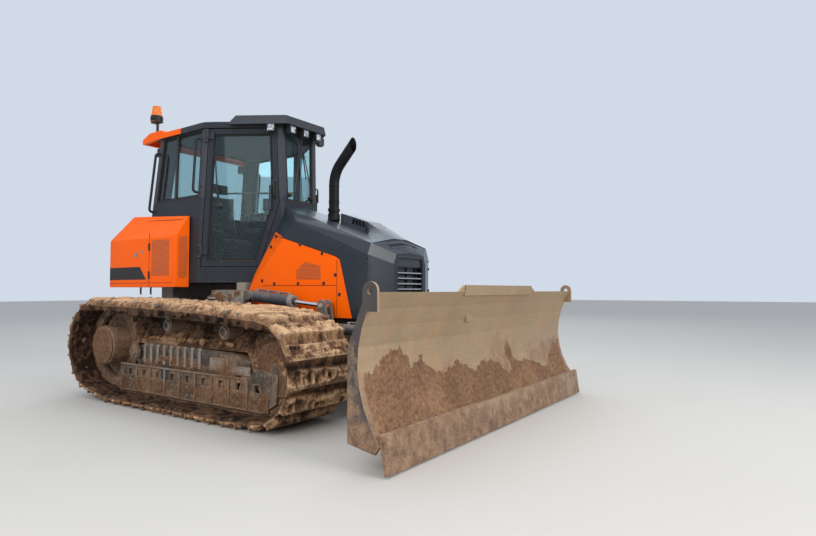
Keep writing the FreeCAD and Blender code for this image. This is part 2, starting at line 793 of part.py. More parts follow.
def cab_shell():
    """Walls and floor of the cab with every door and window opening cut."""
    shell = cab_solid(cab_floor_z, cab_roof_z).cut(cab_solid(cab_floor_z + cab_floor_thickness, cab_roof_z + 100.0, cab_wall))
    rear = prism([(-900.0, y, z) for y, z in rear_window_outline()], (1000.0, 0, 0))
    tools = [front_wall.plate(front_window_outline(), -200.0, 200.0), rear]
    for wall_cut in (door_wall.plate(door_outline(), -200.0, 200.0),
                     side_wall.plate(side_window_outline(), -200.0, 200.0)):
        tools += [wall_cut, mirrored(wall_cut)]
    return cut(shell, tools)


def slab(z0, z1):
    return box(-3000, 6000, -3000, 3000, z0, z1)


def make_cab():
    """Lower cab and posts: one shell parted at the waist and at the head rail."""
    shell = cab_shell()
    lower = shell.common(slab(cab_floor_z, cab_waist_z))
    posts = shell.common(slab(cab_waist_z, cab_head_z)).Solids
    return lower, posts


def hinge_line(z):
    """Point on the right door's hinge axis at a height."""
    u = door_wall.edge(z, 0) + post_b_width / 2
    return door_wall.point(u, door_wall.v_at(z), hinge_out)


def make_door():
    """Tubular door frame with its glass left out, leaf knuckles and an outside handle."""
    opening = door_outline()
    leaf = inset_outline(opening, door_gap)
    light = inset_outline(opening, door_gap + door_frame_band)
    door = door_wall.plate(leaf, -door_thickness, 0.0).cut(door_wall.plate(light, -100.0, 100.0))
    parts = [door]
    for z in hinge_heights:
        low = hinge_line(z)
        high = hinge_line(z + hinge_length)
        knuckle = Part.makeCylinder(hinge_knuckle_radius, (high - low).Length, low, high - low)
        u0 = door_wall.edge(z, 0) + post_b_width / 2
        strap = door_wall.plate([(u0 + 4.0, z + 8.0), (u0 + 72.0, z + 8.0),
                                 (u0 + 72.0, z + hinge_length - 8.0), (u0 + 4.0, z + hinge_length - 8.0)],
                                -1.0, hinge_out)
        parts += [knuckle, strap]
    handle_u = door_wall.edge(2000.0, 1) - 155.0
    handle = door_wall.plate([(handle_u, 1980.0), (handle_u + 26.0, 1980.0), (handle_u + 26.0, 2230.0),
                              (handle_u, 2230.0)], 30.0, 46.0)
    feet = [door_wall.plate([(handle_u, z), (handle_u + 26.0, z), (handle_u + 26.0, z + 26.0),
                             (handle_u, z + 26.0)], -1.0, 31.0) for z in (1980.0, 2204.0)]
    bridge = door_wall.plate([(handle_u - 12.0, 1960.0), (handle_u + 60.0, 1960.0),
                              (handle_u + 60.0, 2250.0), (handle_u - 12.0, 2250.0)], -door_thickness, 0.0)
    bridge = bridge.common(door_wall.plate(leaf, -door_thickness, 0.0))
    whole = fuse(parts + [bridge, handle] + feet)
    bores = []
    for z in hinge_heights:
        low = hinge_line(z - 40.0)
        high = hinge_line(z + hinge_length + 40.0)
        bores.append(Part.makeCylinder(hinge_radius + running_gap, (high - low).Length, low, high - low))
    whole = cut(whole, bores)
    lip = 12.0
    pane_cut = inset_outline(opening, door_gap + door_frame_band - lip)
    pane = door_wall.plate(pane_cut, -door_thickness / 2 - glass_thickness / 2,
                           -door_thickness / 2 + glass_thickness / 2)
    return whole.cut(pane), pane.cut(bridge)


def hinge_pins():
    """Pins and brackets on the hinge post, in the knuckles of the door."""
    pins = []
    for z in hinge_heights:
        low = hinge_line(z - 22.0)
        high = hinge_line(z + hinge_length + 22.0)
        pins.append(Part.makeCylinder(hinge_radius, (high - low).Length, low, high - low))
        for z0 in (z - 22.0, z + hinge_length + 6.0):
            u0 = door_wall.edge(z0, 0) + post_b_width / 2
            pins.append(door_wall.plate([(u0 - 34.0, z0), (u0 + 12.0, z0), (u0 + 12.0, z0 + 16.0),
                                         (u0 - 34.0, z0 + 16.0)], 0.0, hinge_out + 12.0))
    return pins


def window_panes():
    """Side, rear and front panes, each seated in the middle of its wall."""
    depth = cab_wall / 2
    panes = []
    lip = -running_gap
    side = side_wall.plate(inset_outline(side_window_outline(), -lip), -depth - glass_thickness / 2,
                           -depth + glass_thickness / 2)
    panes += [side, mirrored(side)]
    panes.append(front_wall.plate(inset_outline(front_window_outline(), -lip), -depth - glass_thickness / 2,
                                  -depth + glass_thickness / 2))
    rear_ring = [cab_ring(z, depth) for z in (rear_window_z, cab_head_z)]
    outline = inset_outline(rear_window_outline(), -lip)
    low_x, high_x = rear_ring[0][0][0], rear_ring[1][0][0]
    ring = []
    for y, z in outline:
        share = (z - outline[0][1]) / (outline[2][1] - outline[0][1])
        ring.append((low_x + (high_x - low_x) * share, y, z))
    panes.append(prism(ring, (glass_thickness, 0, 0)))
    return panes


def make_roof():
    """Roof slab with its raised front cap."""
    head = cab_solid(cab_head_z, cab_roof_z, -roof_overhang)
    tip = cab_ring(cab_roof_z, -cap_overhang)
    wall = (tip[1][0] + 60.0, tip[1][1] + 40.0), (tip[2][0] + 40.0, tip[2][1] + 20.0)
    lean = (wall[1][1] - wall[0][1]) / (wall[1][0] - wall[0][0])
    rings = []
    for start, z, share in ((cap_rear_x, cab_roof_z - cap_drop, 1.0),
                            (cap_rear_x + cap_rear_slant, cab_cap_z, 0.985)):
        ring = [(start, (wall[0][1] + lean * (start - wall[0][0])) * share),
                (wall[1][0] * share, wall[1][1] * share)]
        ring += [(x, -y) for x, y in reversed(ring)]
        rings.append([(x, y, z) for x, y in ring])
    cap = loft(rings)
    return fuse([head, cap])


# Engine enclosure
def hood_ring(station, inset):
    x, crown, crease_y, crease_z, side_y, side_z = station
    low = hood_bottom - 400.0
    right = [(-(side_y - inset), low), (-(side_y - inset), side_z - inset * 0.7),
             (-(crease_y - inset * 0.6), crease_z - inset),
             (0.0, crown - inset)]
    ring = right + [(-y, z) for y, z in reversed(right[:-1])]
    return [(x, y, z) for y, z in ring]


def enclosure(inset=0.0):
    """Solid form of the engine enclosure, smaller by the inset."""
    spans = []
    for i in range(len(hood_stations) - 1):
        a, b = hood_stations[i], hood_stations[i + 1]
        if i == len(hood_stations) - 2 and inset:
            b = (b[0] - inset,) + b[1:]
        spans.append(loft([hood_ring(a, inset), hood_ring(b, inset)]))
    body = fuse(spans)
    return body.cut(box(-3000, 6000, -3000, 3000, hood_bottom - 900.0,
                        hood_bottom - (0.0 if inset == 0.0 else 1.0)))


def below_line(line, shift, depth, y0, y1):
    """Prism in x and z under a sloping line that runs on past both its ends."""
    (x0, z0), (x1, z1) = line
    slope = (z1 - z0) / (x1 - x0)
    start = (x0 - 400.0, z0 - 400.0 * slope + shift)
    end = (x1 + 800.0, z1 + 800.0 * slope + shift)
    return prism_xz((start, (start[0], depth), (end[0], depth), end), y0, y1)


def panel_outline(grow=0.0):
    """Outline of the coloured side panel in x and z."""
    (x0, z0), (x1, z1) = panel_top_line
    return ((x0 - 300.0, hood_bottom - grow), (panel_front_foot_x + grow, hood_bottom - grow),
            (panel_corner_x + grow, panel_corner_z),
            (x1 + grow, z1 + grow), (x0 - 300.0, z0 + grow + (z0 - z1) * 300.0 / (x1 - x0)))


def make_enclosure():
    """Hood top, the right grey side, the right coloured side and the nose, from one thin shell."""
    outer = enclosure()
    inner = enclosure(hood_skin)
    shell = outer.cut(inner)
    cab_side = loft([cab_ring(cab_floor_z - 500.0, -hood_cab_gap),
                     cab_ring(cab_roof_z + 100.0, -hood_cab_gap)])
    shell = shell.cut(cab_side)
    corner = rear_corner_cut()
    shell = cut(shell, [corner, mirrored(corner)])
    side_line = ((hood_stations[0][0], hood_stations[0][5]), (hood_stations[2][0], hood_stations[2][5]))
    sides = below_line(side_line, -2.0, 0.0, -3000.0,
                       3000.0).common(box(-3000, nose_seam_x, -3000, 3000, 0, 4000))
    nose = box(nose_seam_x, 6000, -3000, 3000, 0, 4000)
    top = shell.cut(sides).cut(nose)
    front = shell.common(nose)
    right = shell.common(sides).common(box(-3000, 6000, -3000, -50, 0, 4000))
    plate = chamfer_plate().common(outer).cut(cab_side)
    below = below_line(side_line, -2.0, 0.0, -3000.0, 3000.0)
    right = right.fuse(plate.common(below))
    shoulder = plate.cut(below)
    top = fuse([top, shoulder, mirrored(shoulder)])
    mask = prism_xz(panel_outline(), -3000.0, 0.0)
    orange = right.common(mask).removeSplitter()
    grey = right.cut(mask).removeSplitter()
    return top, grey, orange, front


def corner_plane():
    """Ring on the slanting facet that takes the right side back to the door, and its outward normal."""
    a, b, c = [Vector(*p) for p in corner_facet]
    n = (b - a).cross(c - a).normalize()
    if n.y > 0:
        n = n * -1.0
    u = (b - a).normalize()
    v = n.cross(u)
    ring = [a + u * i * 4000.0 + v * j * 4000.0 for i, j in ((-1, -1), (1, -1), (1, 1), (-1, 1))]
    return Part.Face(Part.makePolygon(ring + ring[:1])), n


def rear_corner_cut():
    """All that lies outside the slanting facet."""
    face, n = corner_plane()
    return face.extrude(n * 3000.0).common(box(-3000, 2300, -3000, 0, 0, 4000))


def chamfer_plate():
    """Skin of the slanting facet."""
    face, n = corner_plane()
    return face.extrude(n * -hood_skin).common(box(-3000, 2300, -3000, -50, 0, 4000))


def make_side_panel(orange):
    """Coloured panel with its slotted vent."""
    low = vent_outline[0][1]
    high = max(z for x, z in vent_outline)
    mask = prism_xz(vent_outline, -3000.0, 0.0)
    slots = []
    z = low + 6.0
    while z < high - 8.0:
        slots.append(box(1900.0, 2400.0, -600.0, -400.0, z, z + vent_slot_pitch * 0.5).common(mask))
        z += vent_slot_pitch
    return orange.cut(Part.makeCompound(slots))


def make_nose(front):
    """Front cowl with the grille recess, a bare name plate and slats across the opening."""
    x1 = hood_stations[-1][0]
    opening = box(x1 - 300.0, x1 + 50.0, -grille_half + 16.0, grille_half - 16.0, grille_bottom_z,
                  grille_top_z - 14.0)
    cowl = front.cut(opening)
    parts = [cowl]
    plate = box(x1 - 40.0, x1 - 16.0, -grille_half + 15.0, grille_half - 15.0, plate_bottom_z,
                grille_top_z - 13.0)
    parts.append(plate)
    for i in range(slat_count):
        z = plate_bottom_z - slat_pitch * (i + 1)
        slat = prism_xz(((x1 - slat_depth - 8.0, z - slat_height), (x1 - 10.0, z - slat_height / 2),
                         (x1 - 10.0, z + slat_height / 2),
                         (x1 - slat_depth - 8.0, z + slat_height * 0.4)), -grille_half + 15.0,
                         grille_half - 15.0)
        parts.append(slat)
    back = box(x1 - 62.0, x1 - 53.0, -grille_half - 20.0, grille_half + 20.0, grille_bottom_z - 60.0,
               grille_top_z)
    parts.append(back.common(enclosure(hood_skin - 1.0)))
    return fuse(parts)


def make_exhaust():
    """Upright pipe that bends forward and is cut off upright."""
    base = Vector(exhaust_x, exhaust_y, exhaust_base_z)
    bend = Vector(exhaust_x, exhaust_y, exhaust_bend_z)
    lean = math.radians(exhaust_lean)
    middle = bend + Vector(exhaust_bend_radius * (1 - math.cos(lean / 2)), 0,
                           exhaust_bend_radius * math.sin(lean / 2))
    top = bend + Vector(exhaust_bend_radius * (1 - math.cos(lean)), 0, exhaust_bend_radius * math.sin(lean))
    tip = top + Vector(math.sin(lean), 0, math.cos(lean)) * exhaust_tip_run
    path = Part.Wire([Part.LineSegment(base, bend).toShape(), Part.Arc(bend, middle, top).toShape(),
                      Part.LineSegment(top, tip).toShape()])
    pipes = []
    for radius in (exhaust_radius, exhaust_radius - exhaust_wall):
        ring = Part.Wire([Part.makeCircle(radius, base, Vector(0, 0, 1))])
        pipes.append(path.makePipeShell([ring], True, False))
    pipe = pipes[0].cut(pipes[1])
    pipe = pipe.cut(box(exhaust_cut_x, exhaust_cut_x + 500.0, -600.0, 600.0, 0.0, 4000.0))
    collar = Part.makeCylinder(exhaust_radius + 9.0, 60.0, base, Vector(0, 0, 1))
    collar = collar.cut(Part.makeCylinder(exhaust_radius - 1.0, 200.0, base - Vector(0, 0, 10),
                                          Vector(0, 0, 1)))
    clamp = Part.makeCylinder(exhaust_radius + 6.0, 16.0, base + Vector(0, 0, 92.0), Vector(0, 0, 1))
    clamp = clamp.cut(Part.makeCylinder(exhaust_radius - 1.0, 200.0, base - Vector(0, 0, 10),
                                        Vector(0, 0, 1)))
    return fuse([pipe, collar, clamp])


def make_scoop(outer):
    """Raised hump down the middle of the hood, with louvres in both its flanks."""
    body = prism_xz(scoop_outline, -scoop_half, scoop_half)
    fins = Part.makeCompound([box(x, x + scoop_fin, -scoop_half, scoop_half, 0.0, 4000.0)
                              for x in scoop_fins])
    for y in (-scoop_half, scoop_half - scoop_vent_depth):
        body = body.cut(prism_xz(scoop_vent, y, y + scoop_vent_depth).cut(fins))
    return body.cut(outer)


# Rear body with the cooling pack
def rear_section(x, half, top_half, slope_z, top_z):
    right = [(-half, rear_body_bottom), (-half, slope_z), (-top_half, top_z)]
    ring = right + [(-y, z) for y, z in reversed(right)]
    return [(x, y, z) for y, z in ring]


def make_rear_body():
    """Coloured body round the back of the cab: side tanks, sloping top and a rear frame."""
    outer = loft([rear_section(rear_face_x, rear_body_half, rear_top_half + 60.0, rear_slope_z,
                               rear_slope_z + 40.0),
                  rear_section(rear_top_face_x, rear_body_half, rear_top_half, rear_slope_z,
                               rear_top_z + 30.0),
                  rear_section(rear_body_front_x, rear_body_half, rear_top_half, rear_slope_z,
                               rear_top_z - 34.0)])
    well = box(rear_inner_x, 3000.0, -rear_inner_half, rear_inner_half, 0.0, 4000.0)
    bay = box(rear_face_x + rear_shell, rear_inner_x - rear_shell, -rear_grille_half, rear_grille_half,
              rear_body_bottom - 10.0, rear_slope_z - 10.0)
    window = box(rear_face_x - 100.0, rear_face_x + rear_shell + 10.0, -rear_grille_half, rear_grille_half,
                 rear_grille_low, rear_grille_high)
    body = cut(outer, [well, bay, window])
    recesses = []
    for side in (-1, 1):
        y0 = side * rear_body_half
        y1 = side * (rear_body_half - louver_depth)
        z = louver_z[0]
        while z < louver_z[1] - louver_pitch * 0.6:
            recesses.append(box(louver_x[0], louver_x[1], min(y0, y1), max(y0, y1), z,
                                z + louver_pitch * 0.6))
            z += louver_pitch
    return body.cut(Part.makeCompound(recesses))


def make_rear_grille():
    """Bar grille in the rear opening with the fan's shroud ring and its spider behind it."""
    x0 = rear_face_x - 12.0
    x1 = rear_face_x + 16.0
    half = rear_grille_half - running_gap
    frame = box(x0, x1, -half, half, rear_grille_low + running_gap, rear_grille_high - running_gap)
    frame = frame.cut(box(x0 - 10.0, x1 + 10.0, -half + 30.0, half - 30.0, rear_grille_low + 32.0,
                          rear_grille_high - 32.0))
    parts = [frame]
    z = rear_grille_low + 32.0 + rear_bar_pitch * 0.7
    while z < rear_grille_high - 40.0:
        parts.append(box(x0 + 4.0, x1 - 6.0, -half + 29.0, half - 29.0, z, z + rear_bar_height))
        z += rear_bar_pitch
    for y in (-half / 3, half / 3):
        parts.append(box(x0 + 2.0, x1 - 2.0, y - 9.0, y + 9.0, rear_grille_low + 30.0,
                         rear_grille_high - 30.0))
    return fuse(parts)


def make_core():
    """Radiator core across the bay, with the fan's motor stub."""
    core = box(rear_inner_x - rear_shell - 110.0, rear_inner_x - rear_shell, -rear_grille_half + 10.0,
               rear_grille_half - 10.0,
               rear_body_bottom + 40.0, rear_slope_z - 10.0)
    stub = rod(34.0, (rear_inner_x - rear_shell - 60.0, 0, fan_z), (fan_x + 10.0 + running_gap, 0, fan_z))
    return fuse([core, stub])


def make_fan():
    hub = rod(fan_hub_radius, (fan_x - 34.0, 0, fan_z), (fan_x + 34.0, 0, fan_z))
    socket = rod(34.0 + running_gap, (fan_x + 10.0, 0, fan_z), (fan_x + 90.0, 0, fan_z))
    parts = [hub.cut(socket)]
    for i in range(fan_blades):
        angle = 360.0 * i / fan_blades
        blade = prism([(fan_x - 30.0, -34.0, fan_hub_radius - 12.0),
                       (fan_x - 22.0, -38.0, fan_hub_radius - 12.0),
                       (fan_x + 30.0, 34.0, fan_hub_radius - 12.0),
                       (fan_x + 22.0, 38.0, fan_hub_radius - 12.0)],
                      (0, 0, fan_radius - fan_hub_radius + 12.0))
        blade.rotate(Vector(0, 0, 0), Vector(1, 0, 0), angle)
        blade.translate(Vector(0, 0, fan_z))
        parts.append(blade)
    return fuse(parts)


# Lift frame
def make_lift_frame():
    """Two arms from their trunnions to a cross box and nose, with lift towers and angle cylinder posts."""
    half = arm_height / 2
    outline = ((lift_pivot_x - 70.0, lift_pivot_z - 60.0), (lift_pivot_x + 60.0, lift_pivot_z - half),
               (arm_front_x, arm_front_z - half - 40.0),
               (arm_front_x, arm_front_z + half - 20.0), (lift_pivot_x + 60.0, lift_pivot_z + half),
               (lift_pivot_x - 70.0, lift_pivot_z + 60.0))
    parts = []
    for side in (-1, 1):
        y = side * arm_y
        parts.append(prism_xz(outline, y - arm_width / 2, y + arm_width / 2))
        tower = ((tower_x - 90.0, 560.0), (tower_x + 120.0, 560.0), (tower_x + 46.0, tower_z + 30.0),
                 (tower_x + 20.0, tower_z + 58.0),
                 (tower_x - 30.0, tower_z + 52.0), (tower_x - 48.0, tower_z + 20.0))
        for ear in (-1, 1):
            y0 = y + ear * (eye_width / 2 + side_gap)
            y1 = y0 + ear * tower_plate
            parts.append(prism_xz(tower, min(y0, y1), max(y0, y1)))
            parts.append(rod(cylinder_pin_radius + 8.0, (tower_x, y0 + ear * 2.0, tower_z),
                             (tower_x, y1 + ear * 9.0, tower_z)))
        bx, by, bz = angle_base
        by = side * by
        reach = eye_width / 2 + side_gap
        plan = ((bx - 64.0, by - 46.0), (bx + 16.0, by - 42.0), (bx + 40.0, by - 20.0),
                (bx + 40.0, by + 20.0),
                (bx + 16.0, by + 42.0), (bx - 64.0, by + 46.0))
        parts.append(prism_xy(plan, 560.0, bz - reach))
        parts.append(rod(cylinder_pin_radius, (bx, by, bz - reach - 10.0), (bx, by, bz + reach + 22.0)))
        parts.append(box(bx - 64.0, bx - eye_radius - 6.0, by - 46.0, by + 46.0, bz - reach - 4.0,
                         bz + reach + 22.0))
        parts.append(prism_xy(plan, bz + reach, bz + reach + 22.0))
    cross = prism_xz(((cross_rear_x, cross_bottom), (cross_front_x, cross_bottom),
                      (cross_front_x, cross_top), (cross_rear_x, cross_top)),
                     -arm_y - arm_width / 2, arm_y + arm_width / 2)
    parts.append(cross)
    for z0, z1 in ((carrier_z0 - 66.0, carrier_z0 - 8.0), (carrier_z1 + 8.0, carrier_z1 + 66.0)):
        tongue = prism_xy(((cross_rear_x + 20.0, -190.0), (angle_pivot_x, -angle_hub_radius),
                           (angle_pivot_x, angle_hub_radius), (cross_rear_x + 20.0, 190.0)), z0, z1)
        parts.append(tongue)
        parts.append(rod(angle_hub_radius, (angle_pivot_x, 0, z0), (angle_pivot_x, 0, z1)))
    parts.append(box(cross_rear_x + 20.0, cross_front_x, -190.0, 190.0, carrier_z0 - 66.0,
                     carrier_z1 + 66.0))
    parts.append(rod(angle_pin_radius, (angle_pivot_x, 0, carrier_z0 - 60.0),
                     (angle_pivot_x, 0, carrier_z1 + 60.0)))
    frame = fuse(parts)
    bores = [rod(lift_pin_radius + running_gap, (lift_pivot_x, side * (arm_y - 200.0), lift_pivot_z),
                 (lift_pivot_x, side * (arm_y + 200.0), lift_pivot_z)) for side in (-1, 1)]
    return cut(frame, bores)


def make_carrier():
    """Angling carrier: hub on the vertical pin, cross beam with rod ears and the tilt pin."""
    hub = rod(angle_hub_radius - 6.0, (angle_pivot_x, 0, carrier_z0), (angle_pivot_x, 0, carrier_z1))
    neck = box(angle_pivot_x, carrier_back_x + 10.0, -70.0, 70.0, carrier_z0 + 20.0, carrier_z1 - 20.0)
    beam = prism_xy(((carrier_front_x, -carrier_half), (carrier_front_x, carrier_half),
                     (carrier_front_x - 44.0, carrier_half),
                     (carrier_back_x, carrier_neck_half), (carrier_back_x, -carrier_neck_half),
                     (carrier_front_x - 44.0, -carrier_half)),
                    carrier_z0 + 10.0, carrier_z1 - 10.0)
    parts = [hub, neck, beam]
    x, y, z = angle_rod_eye
    for side in (-1, 1):
        parts.append(box(x - 36.0, carrier_front_x, side * y - 46.0, side * y + 46.0, carrier_z1 - 20.0,
                         z - eye_width / 2 - side_gap))
    parts.append(rod(tilt_pin_radius, (carrier_back_x + 20.0, 0, tilt_pin_z),
                     (carrier_front_x + tilt_pin_length, 0, tilt_pin_z)))
    bx, by, bz = tilt_base
    parts.append(box(carrier_back_x + 10.0, carrier_front_x, by - 46.0, by + 46.0, carrier_z1 - 20.0,
                     bz + 60.0))
    parts.append(box(carrier_front_x - 10.0, bx - eye_width / 2 - side_gap, by - 46.0, by + 46.0, bz - 46.0,
                     bz + 46.0))
    parts.append(rod(cylinder_pin_radius, (carrier_front_x - 10.0, by, bz),
                     (bx + eye_width / 2 + 8.0, by, bz)))
    whole = fuse(parts)
    return whole.cut(rod(angle_pin_radius + running_gap, (angle_pivot_x, 0, carrier_z0 - 100.0),
                         (angle_pivot_x, 0, carrier_z1 + 100.0)))


def blade_profile():
    """Curved front of the blade in x and z, from the top down to the top of the cutting edge."""
    top = (blade_top_x, blade_clear + blade_height)
    middle = (blade_tip_x - 226.0, blade_clear + blade_height * 0.5)
    foot = (blade_tip_x - 56.0, blade_clear + edge_height * 0.86)
    return top, middle, foot


def arc_points(a, b, c, count):
    """Points evenly spaced on the circle through three points of a plane."""
    ax, az = a
    bx, bz = b
    cx, cz = c
    d = 2 * (ax * (bz - cz) + bx * (cz - az) + cx * (az - bz))
    ux = ((ax * ax + az * az) * (bz - cz) + (bx * bx + bz * bz) * (cz - az) + (cx * cx + cz * cz)
          * (az - bz)) / d
    uz = ((ax * ax + az * az) * (cx - bx) + (bx * bx + bz * bz) * (ax - cx) + (cx * cx + cz * cz)
          * (bx - ax)) / d
    radius = math.hypot(ax - ux, az - uz)
    start = math.atan2(az - uz, ax - ux)
    end = math.atan2(cz - uz, cx - ux)
    if end < start:
        end += 2 * math.pi
    return [(ux + radius * math.cos(start + (end - start) * i / (count - 1)),
             uz + radius * math.sin(start + (end - start) * i / (count - 1))) for i in range(count)]


def make_blade():
    """Curved mouldboard with end plates, lifting ears, back ribs, a cross box and the tilt socket."""
    front = arc_points(*blade_profile(), 9)
    back = [(x - blade_sheet, z) for x, z in reversed(front)]
    sheet = prism_xz(front + back, -blade_half, blade_half)
    top_x, top_z = front[0]
    middle = prism_xz(((top_x - blade_sheet, top_z - 30.0), (top_x, top_z - 30.0),
                       (top_x + 8.0, top_z + blade_mid_rise),
                       (top_x + 8.0 - blade_sheet, top_z + blade_mid_rise)), -blade_mid_half,
                       blade_mid_half)
    parts = [sheet, middle]
    spine = [(blade_back_x + 60.0, front[-1][1] - 20.0), (blade_back_x + 60.0, 360.0),
             (blade_back_x + 60.0, 760.0), (top_x - 90.0, top_z - 14.0)]
    side = front + [(front[-1][0] - 40.0, front[-1][1] - 60.0), spine[0], spine[2], spine[3]]
    for s in (-1, 1):
        y0 = s * blade_half
        y1 = s * (blade_half - blade_end_plate)
        parts.append(prism_xz(side, min(y0, y1), max(y0, y1)))
        ear = rod(ear_radius, (top_x - 50.0, y0, top_z + ear_rise - ear_radius),
                  (top_x - 50.0, y1, top_z + ear_rise - ear_radius))
        foot = prism_xz(((top_x - 50.0 - ear_radius, top_z - 120.0),
                         (top_x - 50.0 + ear_radius, top_z - 120.0),
                         (top_x - 50.0 + ear_radius, top_z + ear_rise - ear_radius),
                         (top_x - 50.0 - ear_radius, top_z + ear_rise - ear_radius)),
                        min(y0, y1), max(y0, y1))
        parts += [ear, foot]
        for y in rib_y:
            parts.append(prism_xz(side, s * y - rib_plate / 2, s * y + rib_plate / 2))
    parts.append(box(blade_back_x + 70.0, front[4][0], -blade_half + 10.0, blade_half - 10.0, 300.0, 318.0))
    parts.append(box(blade_back_x + 70.0, front[4][0], -blade_half + 10.0, blade_half - 10.0, 740.0, 758.0))
    socket = box(blade_back_x, front[4][0] - 10.0, -130.0, 130.0, 300.0, 758.0)
    parts.append(socket)
    x, y, z = tilt_rod_eye
    parts.append(box(x + eye_width / 2 + side_gap, x + 160.0, y - 45.0, y + 45.0, z - 90.0, z + 45.0))
    whole = fuse(parts)
    bores = [rod(tilt_pin_radius + running_gap, (carrier_front_x - 50.0, 0, tilt_pin_z),
                 (carrier_front_x + tilt_pin_length + running_gap, 0, tilt_pin_z))]
    for s in (-1, 1):
        bores.append(rod(ear_hole_radius,
                         (top_x - 50.0, s * (blade_half + 10.0), top_z + ear_rise - ear_radius),
                         (top_x - 50.0, s * (blade_half - 60.0), top_z + ear_rise - ear_radius)))
    return cut(whole, bores), front


def make_cutting_edge(front):
    """Bolt-on cutting edge with its two end bits."""
    x, z = front[-1]
    low = blade_clear
    edge = prism_xz(((x, z + 70.0), (x, z - 2.0), (blade_tip_x - edge_thickness, low), (blade_tip_x, low),
                     (x + edge_thickness + 2.0, z + 64.0)),
                    -blade_half, blade_half)
    return edge


# Hydraulic cylinders
def make_cylinder(base, eye, barrel_radius, rod_radius, barrel_length, hidden, pin_axis):
    """Barrel with its base eye, and rod with its own eye, from base pin to rod pin."""
    a = Vector(*base)
    b = Vector(*eye)
    along = (b - a).normalize()
    axis = Vector(*pin_axis)
    half = eye_width / 2
    mouth = a + along * barrel_length
    body = Part.makeCylinder(barrel_radius, barrel_length - eye_radius - 14.0,
                             a + along * (eye_radius + 14.0), along)
    gland = Part.makeCylinder(barrel_radius + 6.0, 46.0, mouth - along * 46.0, along)
    base_eye = Part.makeCylinder(eye_radius, eye_width, a - axis * half, axis)
    neck = Part.makeCylinder(half - 2.0, eye_radius + 30.0, a, along)
    barrel = fuse([body, gland, base_eye, neck])
    bore = Part.makeCylinder(rod_radius + running_gap, barrel_length - eye_radius - 40.0,
                             a + along * (eye_radius + 40.0), along)
    barrel = barrel.cut(bore).cut(Part.makeCylinder(cylinder_pin_radius + running_gap, eye_width * 2,
                                                    a - axis * eye_width, axis))
    tail = a + along * (barrel_length - hidden)
    shaft = Part.makeCylinder(rod_radius, (b - tail).Length, tail, along)
    rod_eye = Part.makeCylinder(eye_radius, eye_width, b - axis * half, axis)
    return barrel, fuse([shaft, rod_eye])


def with_pin_cap(piston, eye, direction):
    """Adds the head of the pin on the open face of a rod's eye."""
    face = Vector(*eye) + Vector(*direction) * (eye_width / 2)
    return fuse([piston, Part.makeCylinder(cylinder_pin_radius + 6.0, 12.0, face - Vector(*direction) * 2.0,
                                           Vector(*direction))])


# Seat and controls
def make_seat():
    """Seat pedestal, then the plain closed forms of its two cushions."""
    x, z = seat_x, seat_top_z
    base = loft([[(x - 200.0, -190.0, cab_floor_z + cab_floor_thickness),
                  (x + 200.0, -190.0, cab_floor_z + cab_floor_thickness),
                  (x + 200.0, 190.0, cab_floor_z + cab_floor_thickness),
                  (x - 200.0, 190.0, cab_floor_z + cab_floor_thickness)],
                 [(x - 230.0, -215.0, z - 150.0), (x + 230.0, -215.0, z - 150.0),
                  (x + 230.0, 215.0, z - 150.0), (x - 230.0, 215.0, z - 150.0)]])
    pan = box(x - 250.0, x + 250.0, -240.0, 240.0, z - 150.0, z - 120.0)
    back_plate = prism_xz(((x - 250.0, z - 120.0), (x - 225.0, z - 120.0), (x - 300.0, z + 560.0),
                           (x - 325.0, z + 560.0)), -200.0, 200.0)
    base = fuse([base, pan, back_plate])
    cushion = prism_xz(((x - 200.0, z - 119.7), (x + 250.0, z - 119.7), (x + 270.0, z - 60.0),
                        (x + 250.0, z), (x - 180.0, z - 20.0)), -235.0, 235.0)
    lean = 75.0 / 680.0
    back = prism_xz(((x - 225.0 + seat_gap - lean * 130.0, z + 10.0), (x - 110.0, z + 6.0),
                     (x - 190.0, z + 640.0),
                     (x - 225.0 + seat_gap - lean * 760.0, z + 640.0)), -230.0, 230.0)
    return base, [cushion, back]


def make_controls():
    """Side consoles with their levers, and the display on its stalk."""
    parts = []
    floor = cab_floor_z + cab_floor_thickness
    for side in (-1, 1):
        y0, y1 = sorted((side * 300.0, side * 430.0))
        parts.append(prism_xz(((120.0, floor), (560.0, floor), (640.0, 1780.0), (560.0, 1830.0),
                               (80.0, 1800.0)), y0, y1))
        y = side * 365.0
        parts.append(rod(16.0, (565.0, y, 1800.0), (590.0, y, 1930.0)))
        parts.append(loft([[(560.0, y - 22.0, 1905.0), (615.0, y - 22.0, 1905.0), (615.0, y + 22.0, 1905.0),
                            (560.0, y + 22.0, 1905.0)],
                           [(575.0, y - 18.0, 1990.0), (625.0, y - 18.0, 1990.0), (625.0, y + 18.0, 1990.0),
                            (575.0, y + 18.0, 1990.0)]]))
    groups = [fuse(parts[:3]), fuse(parts[3:])]
    stalk = rod(16.0, (1230.0, -150.0, floor), (1230.0, -150.0, 2020.0))
    screen = box(1215.0, 1255.0, -250.0, -50.0, 1990.0, 2130.0)
    groups.append(fuse([stalk, screen]))
    pedal = prism_xz(((1040.0, floor), (1100.0, floor), (1200.0, floor + 150.0), (1160.0, floor + 160.0)),
                     -60.0, 60.0)
    groups.append(pedal)
    return groups


